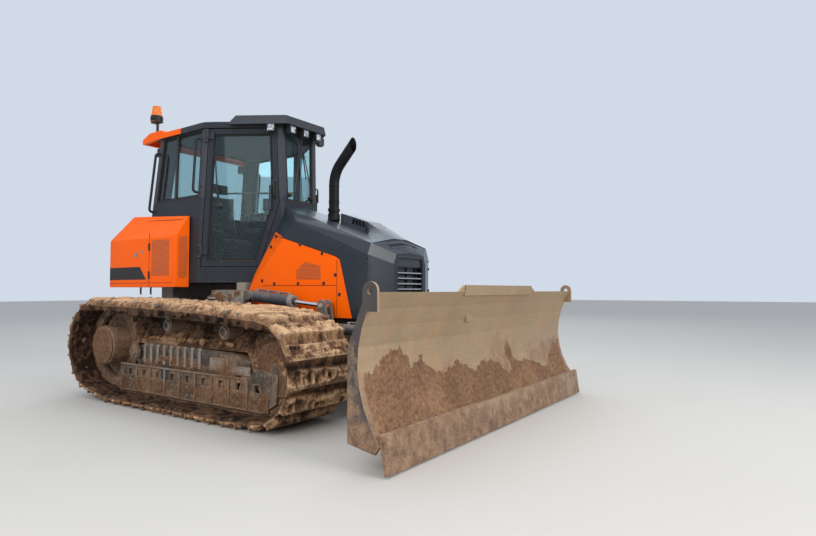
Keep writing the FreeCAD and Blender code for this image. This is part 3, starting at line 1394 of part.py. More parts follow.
# Fittings on the cab
def make_visor(solid=False):
    """Coloured rear edge of the roof, overhanging the rear wall."""
    head = cab_ring(cab_head_z, -roof_overhang)
    rear_x = head[0][0]
    half = -head[0][1]
    roof_x = cab_ring(cab_roof_z, -roof_overhang)[0][0]
    outline = ((rear_x - 300.0, cab_head_z - 8.0), (rear_x - 286.0, cab_head_z - 22.0),
               (rear_x - running_gap, cab_head_z),
               (roof_x - running_gap, cab_roof_z), (roof_x + 110.0, cab_roof_z + running_gap),
               (roof_x + 80.0, cab_roof_z + 36.0),
               (rear_x - 150.0, cab_roof_z + 34.0), (rear_x - 290.0, cab_roof_z - 24.0))
    body = prism_xz(outline, -half - visor_wrap, half + visor_wrap)
    if solid:
        return body
    hollow = prism_xz(((rear_x - 260.0, cab_head_z - 60.0), (rear_x - 20.0, cab_head_z - 60.0),
                       (rear_x - 20.0, cab_roof_z - 20.0),
                       (rear_x - 150.0, cab_roof_z + 4.0), (rear_x - 260.0, cab_roof_z - 40.0)),
                       -half + 26.0, half - 26.0)
    band = cab_solid(cab_head_z, cab_roof_z, -roof_overhang - visor_wrap)
    band = band.cut(cab_solid(cab_head_z - 1.0, cab_roof_z + 1.0, -roof_overhang - running_gap))
    band = band.common(box(-2000.0, visor_wrap_x, -2000.0, 2000.0, 0.0, 4000.0))
    return fuse([body.cut(hollow), band])


def make_lamps():
    """Roof lamps under the cap, and the two rear work lamps."""
    lamps = []
    tip = cab_ring(cab_roof_z, -cap_overhang)
    y_front = -tip[2][1]
    for y in (-y_front * 0.62, 0.0, y_front * 0.62):
        lamps.append(box(tip[2][0] - 30.0, tip[2][0] + 22.0, y - 44.0, y + 44.0, cab_roof_z - 128.0,
                         cab_roof_z - 42.3))
    for side in (-1, 1):
        lamp = box(-30.0, 24.0, -44.0, 44.0, cab_roof_z - 128.0, cab_roof_z - 42.3)
        lamp.rotate(Vector(0, 0, 0), Vector(0, 0, 1), side * 58.0)
        lamp.translate(Vector(tip[2][0] - 118.0, side * (y_front + 62.0), 0))
        lamps.append(lamp)
    for side in (-1, 1):
        y = side * 590.0
        wall_x = cab_ring(rear_lamp_z - 10.0)[0][0] - running_gap
        arm = box(wall_x - 90.0, wall_x, y - 12.0, y + 12.0, rear_lamp_z - 10.0, rear_lamp_z + 10.0)
        lamps.append(fuse([box(wall_x - 150.0, wall_x - 80.0, y - 55.0, y + 55.0, rear_lamp_z - 50.0,
                               rear_lamp_z + 50.0), arm]))
    return lamps


def make_beacon():
    """Warning beacon on its stalk and bracket at the right rear of the roof."""
    x, y = beacon_x, beacon_y
    bracket = box(x - 60.0, x + 70.0, y - 40.0, y + 40.0, beacon_base_z - 12.0, beacon_base_z)
    stalk = rod(14.0, (x + 20.0, y, beacon_foot_z), (x + 20.0, y, beacon_base_z))
    foot = box(x - 20.0, x + 60.0, y - 34.0, y + 34.0, beacon_foot_z, beacon_foot_z + 70.0)
    base = rod(beacon_radius + 4.0, (x, y, beacon_base_z), (x, y, beacon_lens_z))
    lens = Part.makeCone(beacon_radius, beacon_radius - 14.0, beacon_top_z - beacon_lens_z,
                         Vector(x, y, beacon_lens_z), Vector(0, 0, 1))
    seat = make_visor(True)
    seat.translate(Vector(0, 0, running_gap))
    return fuse([bracket, stalk, foot, base, lens]).cut(seat)


def bent_rail(points, radius, bend):
    """Round tube through corner points, with arcs of one radius at the corners."""
    points = [Vector(*p) for p in points]
    edges = []
    start = points[0]
    for a, b, c in zip(points, points[1:], points[2:]):
        d1 = (a - b).normalize()
        d2 = (c - b).normalize()
        half = math.acos(max(-1.0, min(1.0, d1.dot(d2)))) / 2
        reach = bend / math.tan(half)
        p1 = b + d1 * reach
        p2 = b + d2 * reach
        centre = b + (d1 + d2).normalize() * (bend / math.sin(half))
        mid = centre + (b - centre).normalize() * bend
        edges.append(Part.LineSegment(start, p1).toShape())
        edges.append(Part.Arc(p1, mid, p2).toShape())
        start = p2
    edges.append(Part.LineSegment(start, points[-1]).toShape())
    path = Part.Wire(edges)
    ring = Part.Wire([Part.makeCircle(radius, points[0], points[1] - points[0])])
    return path.makePipeShell([ring], True, False)


def make_rails():
    """Grab rails at the rear corners of the cab and on the hinge posts."""
    rails = []
    for low, high, side, shift, out in ((2030.0, 2700.0, 0, 34.0, 62.0), (2180.0, 2760.0, 1, -46.0, 74.0)):
        points = []
        for z, n in ((low, 0.0), (low, out), (high, out), (high, 0.0)):
            foot = side_wall.point(side_wall.edge(z, side) + shift, side_wall.v_at(z), n)
            points.append((foot.x, foot.y, foot.z))
        rails.append(bent_rail(points, rail_radius, 36.0))
    return rails + [mirrored(rail) for rail in rails]


def main():
    os.makedirs("parts", exist_ok=True)
    track = make_track()
    frame = make_track_frame()
    sprocket = make_sprocket()
    idler = make_idler()
    rollers = make_rollers()
    for side, name in ((-1, "right"), (1, "left")):
        save("track_" + name, at_track(track, side))
        right_frame = at_track(frame, -1)
        save("track_frame_" + name, right_frame if side < 0 else mirrored(right_frame))
    pair = [at_track(sprocket, -1)]
    save("sprockets", pair + [mirrored(pair[0])])
    save("idlers", [at_track(idler, -1), at_track(idler, 1)])
    right_rollers = [at_track(roller, -1) for roller in rollers]
    save("track_rollers", right_rollers + [mirrored(roller) for roller in right_rollers])
    save("main_frame", make_main_frame())
    save("frame_shafts", make_frame_shafts())
    save("cab_mounts", make_cab_mounts())
    save("lift_mounts", [lift_mount(side) for side in (-1, 1)])
    save("engine_block", make_engine())
    top, grey, orange, front = make_enclosure()
    scoop = make_scoop(enclosure())
    save("hood_top", fuse([top, scoop]))
    save("hood_side_right", grey)
    save("hood_side_left", mirrored(grey))
    panel = make_side_panel(orange)
    save("side_panel_right", panel)
    save("side_panel_left", mirrored(panel))
    save("nose_grille", make_nose(front))
    save("exhaust", make_exhaust().cut(enclosure()))
    save("rear_body", make_rear_body())
    save("rear_grille", make_rear_grille())
    save("radiator", make_core())
    save("cooling_fan", make_fan())
    lower, posts = make_cab()
    pins = hinge_pins()
    save("cab_lower", lower)
    save("cab_posts", posts)
    save("cab_hinges", pins + [mirrored(pin) for pin in pins])
    save("cab_roof", make_roof())
    save("cab_windows", window_panes())
    door, pane = make_door()
    save("door_right", door)
    save("door_left", mirrored(door))
    save("door_glass_right", pane)
    save("door_glass_left", mirrored(pane))
    save("roof_visor", make_visor())
    save("work_lamps", make_lamps())
    save("beacon", make_beacon())
    save("grab_rails", make_rails())
    base, cushions = make_seat()
    save("seat_base", base)
    save("seat_cushions", cushions)
    save("controls", make_controls())
    save("lift_frame", make_lift_frame())
    save("blade_carrier", make_carrier())
    blade, front_line = make_blade()
    save("blade", blade)
    save("cutting_edge", make_cutting_edge(front_line))
    for side, name in ((-1, "right"), (1, "left")):
        base = (lift_base[0], side * lift_base[1], lift_base[2])
        barrel, piston = make_cylinder(base, (tower_x, side * arm_y, tower_z), lift_barrel_radius,
                                       lift_rod_radius,
                                       lift_barrel_length, lift_rod_hidden, (0, 1, 0))
        save("lift_barrel_" + name, barrel)
        save("lift_rod_" + name, piston)
        base = (angle_base[0], side * angle_base[1], angle_base[2])
        eye = (angle_rod_eye[0], side * angle_rod_eye[1], angle_rod_eye[2])
        barrel, piston = make_cylinder(base, eye, angle_barrel_radius, angle_rod_radius,
                                       angle_barrel_length, angle_rod_hidden,
                                       (0, 0, 1))
        save("angle_barrel_" + name, barrel)
        save("angle_rod_" + name, with_pin_cap(piston, eye, (0, 0, 1)))
    barrel, piston = make_cylinder(tilt_base, tilt_rod_eye, tilt_barrel_radius, tilt_rod_radius,
                                   tilt_barrel_length, tilt_rod_hidden,
                                   (1, 0, 0))
    save("tilt_barrel", barrel)
    save("tilt_rod", with_pin_cap(piston, tilt_rod_eye, (-1, 0, 0)))


main()
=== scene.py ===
import json
import math

import bmesh
import bpy
import mathutils
import numpy as np
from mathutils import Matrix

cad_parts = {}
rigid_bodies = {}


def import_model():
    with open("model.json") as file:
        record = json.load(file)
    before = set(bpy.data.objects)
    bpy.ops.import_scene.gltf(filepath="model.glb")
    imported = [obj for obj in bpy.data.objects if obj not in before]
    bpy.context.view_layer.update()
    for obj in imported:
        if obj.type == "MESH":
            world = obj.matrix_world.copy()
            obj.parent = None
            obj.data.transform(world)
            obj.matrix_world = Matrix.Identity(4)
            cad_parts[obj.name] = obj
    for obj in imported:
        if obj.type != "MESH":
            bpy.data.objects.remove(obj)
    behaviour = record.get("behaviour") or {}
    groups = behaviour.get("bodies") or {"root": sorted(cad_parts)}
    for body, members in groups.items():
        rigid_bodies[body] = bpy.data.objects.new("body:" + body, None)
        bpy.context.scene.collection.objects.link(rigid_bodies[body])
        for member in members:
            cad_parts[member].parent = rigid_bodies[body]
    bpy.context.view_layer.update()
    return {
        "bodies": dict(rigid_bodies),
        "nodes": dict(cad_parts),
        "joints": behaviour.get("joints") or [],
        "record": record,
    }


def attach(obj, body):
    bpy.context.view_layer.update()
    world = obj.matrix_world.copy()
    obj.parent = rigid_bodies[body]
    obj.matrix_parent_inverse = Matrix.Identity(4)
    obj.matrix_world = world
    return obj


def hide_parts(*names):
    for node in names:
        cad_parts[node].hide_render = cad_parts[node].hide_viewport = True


for leftover in list(bpy.data.objects):
    bpy.data.objects.remove(leftover)

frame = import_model()
nodes = frame["nodes"]

bl_info = {
    "name": "Crawler dozer dresser",
    "version": (1, 0, 0),
    "blender": (4, 5, 0),
    "location": "3D View > Sidebar > Dozer",
    "description": "Adds finishes, mud, glazing, trim and cushions of a crawler dozer to its packed frame",
    "category": "Object",
}

MIDDLE = 1.670          # the row frame's origin, metres ahead of the sprocket axle
GAUGE_HALF = 1.120      # track centre from the machine's middle
SIDE = (0, -1, 0)       # outward on the right side, which the left one mirrors
SIDE_AXES = np.array([(1.0, 0, 0), (0, 0, 1.0), (0, -1.0, 0)])
SIDES = ((-1, "right"), (1, "left"))


# Coordinates
def at(points):
    """Layout millimetres, with X from the sprocket axle, to metres in the row frame."""
    placed = np.array(points, float) / 1000.0
    placed[..., 0] -= MIDDLE
    return placed


def unit(vectors):
    """Vectors scaled to length one."""
    vectors = np.asarray(vectors, float)
    return vectors / np.linalg.norm(vectors, axis=-1, keepdims=True)


# Plain patches: a patch is its points and its faces, as arrays of equal sided polygons
def grid(points, wrap_u=False, wrap_v=False):
    """Quads over a two-parameter grid of points: each joins (u, v), (u+1, v), (u+1, v+1) and (u, v+1)."""
    index = np.arange(points.shape[0] * points.shape[1]).reshape(points.shape[:2])
    if wrap_u:
        index = np.vstack([index, index[:1]])
    if wrap_v:
        index = np.hstack([index, index[:, :1]])
    quads = np.stack([index[:-1, :-1], index[1:, :-1], index[1:, 1:], index[:-1, 1:]], -1)
    return points.reshape(-1, 3), [quads.reshape(-1, 4)]


def skin(rings):
    """Closed surface through rings of points, with a flat cap on the first ring and on the last."""
    verts, faces = grid(rings, wrap_v=True)
    count = rings.shape[1]
    first = np.arange(count)[None]
    last = (rings.shape[0] - 1) * count + np.arange(count)[::-1][None]
    return verts, faces + [first, last]


def outward(patch):
    """A closed patch with its faces outward: they are turned round where its signed volume is negative."""
    points, polygons = patch
    spoke = points - points.mean(0)
    volume = sum(np.einsum("ij,ij->", spoke[p[:, 0]], np.cross(spoke[p[:, k]], spoke[p[:, k + 1]]))
                 for p in polygons for k in range(1, p.shape[1] - 1))
    return patch if volume >= 0 else (points, [p[:, ::-1] for p in polygons])


def joined(patches):
    """One patch from several."""
    verts, faces, start = [], [], 0
    for points, polygons in patches:
        verts.append(points)
        faces += [polygon + start for polygon in polygons]
        start += len(points)
    return np.concatenate(verts), faces


def copies(patch, places, turns=None):
    """A patch repeated at each place, each copy turned by its own 3 by 3 matrix of axes as rows."""
    points, polygons = patch
    places = np.atleast_2d(places)
    if turns is None:
        turns = np.broadcast_to(np.eye(3), (len(places), 3, 3))
    verts = (np.einsum("vi,kij->kvj", points, turns) + places[:, None]).reshape(-1, 3)
    steps = np.arange(len(places))[:, None, None] * len(points)
    return verts, [(polygon[None] + steps).reshape(-1, polygon.shape[1]) for polygon in polygons]


def axes_to(normals, up=(0.0, 0.0, 1.0)):
    """For each normal, axes as rows: side, top and the normal, with top as near to up as can be."""
    normals = unit(np.atleast_2d(normals))
    up = np.broadcast_to(np.asarray(up, float), normals.shape)
    spare = np.broadcast_to(np.array([1.0, 0.0, 0.0]), normals.shape)
    steep = np.abs((normals * up).sum(-1, keepdims=True)) > 0.97
    side = unit(np.cross(np.where(steep, spare, up), normals))
    return np.stack([side, np.cross(normals, side), normals], 1)


def circle(sides, side, top):
    """Unit circle in the plane of two axes, clockwise seen from the side that their normal points to."""
    turn = -2 * np.pi * np.arange(sides) / sides
    return np.cos(turn)[:, None] * side + np.sin(turn)[:, None] * top


def revolved(profile, origin, axis, sides):
    """Rings of points: each (radius, height) pair of a profile carried round an axis."""
    side, top, along = axes_to(axis)[0]
    radius, height = np.array(profile, float).T[..., None, None]
    return radius * circle(sides, side, top) + height * along + np.asarray(origin, float)


def lathe(profile, origin=(0, 0, 0), axis=(0, 0, 1), sides=32):
    """Profile of (radius, height) pairs carried round an axis, closed by flat caps."""
    return skin(revolved(profile, origin, axis, sides))


def grid_ring(profile, origin, axis, sides=32):
    """Closed ring: a loop of (radius, height) pairs carried round an axis."""
    return grid(revolved(profile, origin, axis, sides), wrap_u=True, wrap_v=True)


def tube(path, radius, sides=12):
    """Circle of a given radius carried along a path; the radius may change along it."""
    path = np.asarray(path, float)
    along = unit(np.gradient(path, axis=0))
    flat = np.linalg.svd(path - path.mean(0))[2][2]
    if len(path) < 3 or np.linalg.norm(np.cross(along, flat), axis=1).min() < 0.2:
        flat = axes_to(along[0])[0][0]
    side = unit(np.cross(flat, along))
    top = np.cross(along, side)
    radius = np.broadcast_to(radius, (len(path),))[:, None, None]
    return skin(path[:, None] + circle(sides, side[:, None], top[:, None]) * radius)


def arcs_at(before, corners, after, bend, steps):
    """Quadratic curve in place of each corner, from a bend before it to a bend after it."""
    back, ahead = corners + unit(before - corners) * bend, corners + unit(after - corners) * bend
    t = np.linspace(0, 1, steps)[:, None]
    arcs = back[:, None] * (1 - t) ** 2 + corners[:, None] * 2 * t * (1 - t) + ahead[:, None] * t ** 2
    return arcs.reshape(-1, corners.shape[1])


def rounded_path(corners, bend, steps=6):
    """Straight runs between corners, with a curve in place of each corner but the two ends."""
    corners = np.asarray(corners, float)
    arcs = arcs_at(corners[:-2], corners[1:-1], corners[2:], bend, steps)
    return np.concatenate([corners[:1], arcs, corners[-1:]])


def rounded(outline, radius, steps=5):
    """Closed outline with a curve in place of each corner."""
    outline = np.asarray(outline, float)
    return arcs_at(np.roll(outline, 1, 0), outline, np.roll(outline, -1, 0), radius, steps)


def box_outline(x, y):
    """Anticlockwise rectangle about the origin, from its half lengths."""
    return np.array([(-x, -y), (x, -y), (x, y), (-x, y)])


def inset(outline, distance):
    """Moves each edge of an anticlockwise outline inwards: a corner moves by d (n1 + n2) / (1 + n1.n2)."""
    edge = unit(np.roll(outline, -1, 0) - outline)
    normal = np.stack([-edge[:, 1], edge[:, 0]], 1)
    before = np.roll(normal, 1, 0)
    share = distance / (1.0 + (normal * before).sum(1, keepdims=True))
    return outline + (normal + before) * share


def placed(flat, axes, origin, height):
    """Points of a flat outline on a plane given by its side, top and normal axes, at a height over it."""
    return np.asarray(origin) + flat[:, :1] * axes[0] + flat[:, 1:2] * axes[1] + height * axes[2]


def plate(outline, axes, origin, low, high, chamfer=0.0015):
    """Flat outline carried along its plane's normal from low to high, with its edges chamfered."""
    outline = np.asarray(outline, float)
    small, full = inset(outline, chamfer)[::-1], outline[::-1]
    rings = [placed(small, axes, origin, low), placed(full, axes, origin, low + chamfer),
             placed(full, axes, origin, high - chamfer), placed(small, axes, origin, high)]
    return skin(np.array(rings))


def band(outline, axes, origin, width, low, high, chamfer=0.0015):
    """Strip of a given width round the inside of an outline: a closed rectangle carried along it."""
    outline = np.asarray(outline, float)
    section = ((0.0, low), (0.0, high - chamfer), (chamfer, high), (width - chamfer, high),
               (width, high - chamfer), (width, low))
    rings = [placed(inset(outline, step)[::-1], axes, origin, height) for step, height in section]
    return grid(np.array(rings), wrap_u=True, wrap_v=True)


def block(low, high, chamfer):
    """Straight box between two corners in layout millimetres, with chamfered edges."""
    low, high = at([low, high])
    middle, half = (low + high) / 2, (high - low) / 2
    c = min(chamfer, half.min() * 0.8)
    x, y = half[0], half[1]
    outline = np.array([(x - c, -y), (x, -y + c), (x, y - c), (x - c, y), (-x + c, y), (-x, y - c),
                        (-x, -y + c), (-x + c, -y)])
    return plate(outline, np.eye(3), (middle[0], middle[1], 0.0), low[2], high[2], c)


def block_on(centre, axes, half, chamfer=0.001):
    """Chamfered box about a point, with half lengths along three axes."""
    x, y, z = half
    return plate(box_outline(x, y), axes, centre, -z, z, min(chamfer, min(half) * 0.5))


def hex_bolt(radius, height, washer=1.45):
    """Hexagon head on a washer, standing on z = 0."""
    head = lathe([(radius, 0.0), (radius, height * 0.86), (radius * 0.86, height)], sides=6)
    ring = lathe([(radius * washer, -0.002), (radius * washer, height * 0.22),
                  (radius * washer * 0.94, height * 0.3)], sides=14)
    return joined([head, ring])


def dome_bolt(radius, height):
    """Low round head, standing on z = 0."""
    t = np.linspace(0, np.pi / 2 * 0.92, 5)
    return lathe([(radius, -0.002)] + [(radius * math.cos(a), height * math.sin(a)) for a in t], sides=12)


def bolts_on(points, normal, radius=0.011, height=0.008, head=hex_bolt):
    """One bolt head at each point, standing along the normal."""
    points = at(np.atleast_2d(points))
    turns = np.broadcast_to(axes_to(normal)[0], (len(points), 3, 3))
    return copies(head(radius, height), points, turns)


def crowned_lens(face, axes, half, crown, depth, counts):
    """Closed lens over a rectangle: its front stands 1 mm + crown (1 - x^2)(1 - y^2) off the face."""
    x, y = np.meshgrid(*(np.linspace(-1, 1, count) for count in counts), indexing="ij")
    x, y = x[..., None], y[..., None]
    rise = 0.001 + crown * (1 - x ** 2) * (1 - y ** 2)
    front = face + x * half[0] * axes[0] + y * half[1] * axes[1] + rise * axes[2]
    back = front - depth * axes[2]
    rings = np.concatenate([back[:, :1], front, back[:, -1:]], 1)
    ends = [np.broadcast_to((rings[k, :1] + rings[k, -1:]) / 2, rings[:1].shape) for k in (0, -1)]
    return grid(np.concatenate([ends[0], rings, ends[1]]), wrap_v=True)


# Noise: numbers hashed at the corners of a lattice, blended smoothly between them
def noise(points, cell, seed=0):
    """Value noise from -1 to 1 with lattice cells of one size."""
    q = np.asarray(points, float) / cell + 1000.0 + seed * 17.13
    base = np.floor(q).astype(np.int64)
    f = q - base
    f = f * f * (3 - 2 * f)
    total = 0.0
    for corner in np.ndindex(2, 2, 2):
        key = (base[..., 0] + corner[0]) * 374761393 + (base[..., 1] + corner[1]) * 668265263
        key = (key + (base[..., 2] + corner[2]) * 2147483647 + seed * 144269) & 0xFFFFFFFF
        key = ((key ^ (key >> 13)) * 1274126177) & 0xFFFFFFFF
        value = ((key ^ (key >> 16)) & 0xFFFF) / 32767.5 - 1.0
        weight = 1.0
        for axis in range(3):
            weight = weight * (f[..., axis] if corner[axis] else 1 - f[..., axis])
        total = total + value * weight
    return total


def rough(points, cell, octaves=3, seed=0):
    """Sum of noises, each at half the cell and about half the height of the one before."""
    return sum(noise(points, cell / 2 ** i, seed + i) * 0.55 ** i for i in range(octaves))


def clods(points, cell, seed=0):
    """Rounded clods with sharp gaps between them: 1 - |noise|, summed over three sizes, about -1 to 1."""
    total = sum((1.0 - 2.2 * np.abs(noise(points, cell / 2 ** i, seed + 7 * i))) * 0.6 ** i
                for i in range(3))
    return total / 1.6


def added(name, data):
    """New object for a mesh, a light or a camera, in the scene."""
    made = bpy.data.objects.new(name, data)
    bpy.context.scene.collection.objects.link(made)
    return made


def piece(name, patches, material, body="root", angle=35.0, bevel=0.0, painted_shading=None):
    """Makes one object from patches, shades it smooth up to an angle, and lets it ride on a body.

    painted_shading is a value for each point, which the mud's shader turns into painted shade and painted
    highlight."""
    verts, faces = joined([outward(patch) for patch in patches])
    mesh = bpy.data.meshes.new(name)
    mesh.from_pydata(verts.tolist(), [], [tuple(row) for polygon in faces for row in polygon.tolist()])
    mesh.materials.append(bpy.data.materials[material])
    mesh.shade_smooth()
    mesh.set_sharp_from_angle(angle=math.radians(angle))
    mesh.update()
    made = added(name, mesh)
    if bevel:
        soften(made, bevel)
    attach(made, body)
    if painted_shading is not None:
        # Painted shading for the mud's shader: low values paint shade in gaps and shaded parts, high values
        # paint highlight on crests.
        mesh.attributes.new("painted_shading", "FLOAT",
                            "POINT").data.foreach_set("value", np.asarray(painted_shading, float).ravel())
    return made


def soften(made, width, weld=False):
    """Rounds hard edges by modifiers; a CAD node's loose triangles are first welded into whole faces."""
    if weld:
        made.modifiers.new("Weld", "WELD").merge_threshold = 0.00002
        flat = made.modifiers.new("Flat faces", "DECIMATE")
        flat.decimate_type = "DISSOLVE"
        flat.angle_limit = math.radians(0.6)
    round_off = made.modifiers.new("Rounded edges", "BEVEL")
    round_off.width = width
    round_off.segments = 2
    round_off.limit_method = "ANGLE"
    round_off.angle_limit = math.radians(28.0)


def mirrored(patches):
    """Patches on the other side of the machine, with their faces turned to point outwards again."""
    return [(points * [1, -1, 1], [polygon[:, ::-1] for polygon in polygons]) for points,
            polygons in patches]


def pair(patches):
    """Patches of the right side together with their mirror images."""
    return list(patches) + mirrored(patches)


def islands(node):
    """Points of each separate solid of a CAD node, in the row frame: labels spread along shared corners."""
    mesh = nodes[node].data
    points = np.empty(len(mesh.vertices) * 3)
    mesh.vertices.foreach_get("co", points)
    points = points.reshape(-1, 3)
    spots, same = np.unique(np.round(points, 5), axis=0, return_inverse=True)
    corners = np.empty(len(mesh.loops), np.int64)
    mesh.loops.foreach_get("vertex_index", corners)
    triangles = same.reshape(-1)[corners].reshape(-1, 3)
    label = np.arange(len(spots))
    while True:
        lowest = label[triangles].min(1)
        fresh = label.copy()
        np.minimum.at(fresh, triangles.ravel(), np.repeat(lowest, 3))
        fresh = fresh[fresh]
        if np.array_equal(fresh, label):
            return [spots[label == value] for value in np.unique(label)]
        label = fresh


def crust(corner, across, up, counts, thick, seed, cell):
    """Slab of dried mud on a flat place in layout millimetres; it is thick (0.45 + noises) fade high.

    fade falls to nothing at the borders, along a line that a second noise makes ragged."""
    corner, across, up = at(corner), np.array(across) / 1000, np.array(up) / 1000
    u, v = np.meshgrid(np.linspace(0, 1, counts[0]), np.linspace(0, 1, counts[1]), indexing="ij")
    out = unit(np.cross(across, up))
    flat = corner + u[..., None] * across + v[..., None] * up
    border = np.minimum(np.minimum(u, 1 - u) * np.linalg.norm(across),
                        np.minimum(v, 1 - v) * np.linalg.norm(up))
    fade = border / cell + 0.9 * rough(flat, cell, 3, seed + 5)
    fade = np.clip(fade * 1.6, -0.25, 1.0)
    lumps = 0.45 + 0.4 * rough(flat, cell * 0.5, 4, seed) + 0.2 * rough(flat, 0.022, 2, seed + 3)
    height = np.where(fade > 0, thick * np.clip(lumps, 0.12, 1.3) * fade, 0.012 * fade)
    face = flat + height[..., None] * out
    back = flat - 0.006 * out
    edge = np.concatenate([np.arange(counts[0] * counts[1]).reshape(counts)[row] for row in
                           ((slice(None), 0), (-1, slice(1, None)), (slice(-2, None, -1), -1),
                            (0, slice(-2, 0, -1)))])
    verts = np.concatenate([face.reshape(-1, 3), back.reshape(-1, 3)[edge], [back.mean((0, 1))]])
    base = len(edge)
    ring = counts[0] * counts[1] + np.arange(base)
    after = np.roll(ring, -1)
    walls = np.stack([edge, ring, after, np.roll(edge, -1)], -1)
    floor = np.stack([after, ring, np.full(base, len(verts) - 1)], -1)
    return verts, grid(face)[1] + [walls, floor]


def mud_disc(centre, normal, radius, thick, seed, counts=(96, 22)):
    """Round cake of mud on a disc: it rises steeply at its ragged rim to thick (0.6 + noises)."""
    side, top, out = axes_to(normal)[0]
    ring = circle(counts[0], side, top)
    share = np.linspace(1.0, 0.02, counts[1])[:, None, None]
    ragged = 1 + 0.03 * rough(ring * radius, 0.05, 2, seed + 4)[:, None]
    flat = at(centre) + ring * radius * share * ragged
    lumps = 0.6 + 0.3 * rough(flat, 0.09, 3, seed) + 0.25 * clods(flat, 0.05, seed + 2)
    rise = thick * np.clip((1 - share[..., 0]) / 0.10, 0, 1) ** 0.5 * lumps
    face = flat + np.clip(rise, 0.0005, None)[..., None] * out
    return skin(np.concatenate([flat[:1] - 0.006 * out, face]))


def lump(seed, sides=9, rings=6):
    """Unit clod: a sphere of angles (a, b) with its radius 1 + 0.35 noise, closed at both poles."""
    a = np.linspace(0.0, np.pi, rings)[1:-1]
    b = -2 * np.pi * np.arange(sides) / sides
    ball = np.stack([np.sin(a)[:, None] * np.cos(b), np.sin(a)[:, None] * np.sin(b),
                     np.cos(a)[:, None] + 0 * b], -1)[::-1]
    return skin(ball * (1.0 + 0.35 * rough(ball, 0.9, 2, seed))[..., None])


def scattered(places, sizes, seed):
    """Clods of several forms at the places, each scaled and turned on its own."""
    chance = np.random.default_rng(seed)
    turn = chance.uniform(0, 2 * np.pi, (2, len(places)))
    c, s = np.cos(turn), np.sin(turn)
    zero, one = np.zeros(len(places)), np.ones(len(places))
    about_z = np.stack([c[0], s[0], zero, -s[0], c[0], zero, zero, zero, one], -1).reshape(-1, 3, 3)
    about_x = np.stack([one, zero, zero, zero, c[1], s[1], zero, -s[1], c[1]], -1).reshape(-1, 3, 3)
    turns = np.einsum("kij,kjl->kil", about_x, about_z) * np.asarray(sizes)[:, None, None]
    kinds = np.arange(len(places)) % 4
    return [copies(lump(seed + kind), places[kinds == kind], turns[kinds == kind]) for kind in range(4)]


# The track's pitch line: x, z and radius of its wheels, in millimetres, counter-clockwise
TRACK_WHEELS = np.array([(0.0, 545.0, 375.0), (330.0, 245.0, 140.0), (2130.0, 245.0, 140.0),
                         (2510.0, 475.0, 350.0), (1846.0, 752.0, 118.0), (985.0, 783.0, 118.0)])
SHOES = 44
SHOE_HALF_WIDTH = 360.0
PLATE_LOW = 45.0            # inner face of a shoe plate over the pitch line
PLATE_HIGH = 57.0           # outer face
TIP = 105.0                 # top of a grouser
SHOE_GAP = 5.0


def track_runs():
    """Where the line leaves and meets each wheel: the outer tangents, as in a belt drive."""
    ahead = np.roll(TRACK_WHEELS, -1, 0)
    step = ahead[:, :2] - TRACK_WHEELS[:, :2]
    reach = np.hypot(step[:, 0], step[:, 1])
    lean = np.arcsin((TRACK_WHEELS[:, 2] - ahead[:, 2]) / reach)
    angle = np.arctan2(step[:, 1], step[:, 0]) - np.pi / 2 + lean
    out = np.stack([np.cos(angle), np.sin(angle)], 1)
    leave = TRACK_WHEELS[:, :2] + TRACK_WHEELS[:, 2:] * out
    meet = ahead[:, :2] + ahead[:, 2:] * out
    start = np.roll(angle, 1)
    arc = TRACK_WHEELS[:, 2] * ((angle - start) % (2 * np.pi))
    ends = np.cumsum(np.stack([arc, np.linalg.norm(meet - leave, axis=1)], 1).ravel())
    return start, out, leave, meet, ends


def track_at(distance):
    """Points (x, z) and outward normals at distances along the pitch line, in millimetres."""
    start, out, leave, meet, ends = track_runs()
    distance = np.asarray(distance, float) % ends[-1]
    leg = np.searchsorted(ends, distance)
    local = distance - np.concatenate([[0.0], ends])[leg]
    wheel = leg // 2
    radius = TRACK_WHEELS[wheel, 2]
    angle = start[wheel] + local / radius
    turned = np.stack([np.cos(angle), np.sin(angle)], -1)
    share = (local / np.maximum(np.linalg.norm(meet - leave, axis=1)[wheel], 1e-9))[..., None]
    on_run = (leg % 2 == 1)[..., None]
    point = np.where(on_run, leave[wheel] + (meet - leave)[wheel] * share,
                     TRACK_WHEELS[wheel, :2] + radius[..., None] * turned)
    return point, np.where(on_run, out[wheel], turned)


def shoe_frames(upper=None):
    """Middle, outward normal and running direction of every shoe, and the half length of a shoe plate.

    upper picks the shoes that face the ground, or all the others, in running order."""
    total = track_runs()[-1][-1]
    pitch = total / SHOES
    point, out = track_at((np.arange(SHOES) + 0.5) * pitch)
    if upper is not None:
        under = np.flatnonzero(out[:, 1] < -0.9)
        pick = np.roll(np.arange(SHOES), -under[-1] - 1)[:SHOES - len(under)] if upper else under
        point, out = point[pick], out[pick]
    return point, out, np.stack([-out[:, 1], out[:, 0]], 1), pitch / 2 - SHOE_GAP / 2


def on_shoes(s, height, y, upper=None):
    """Points over the shoes in the row frame: middle + s along + height out, y across; shoes first."""
    point, out, along, _ = shoe_frames(upper)
    shape = (len(point),) + (1,) * (np.ndim(height) - 1)
    x = point[:, 0].reshape(shape) + along[:, 0].reshape(shape) * s + out[:, 0].reshape(shape) * height
    z = point[:, 1].reshape(shape) + along[:, 1].reshape(shape) * s + out[:, 1].reshape(shape) * height
    return at(np.stack([x, y + 0 * x, z], -1))


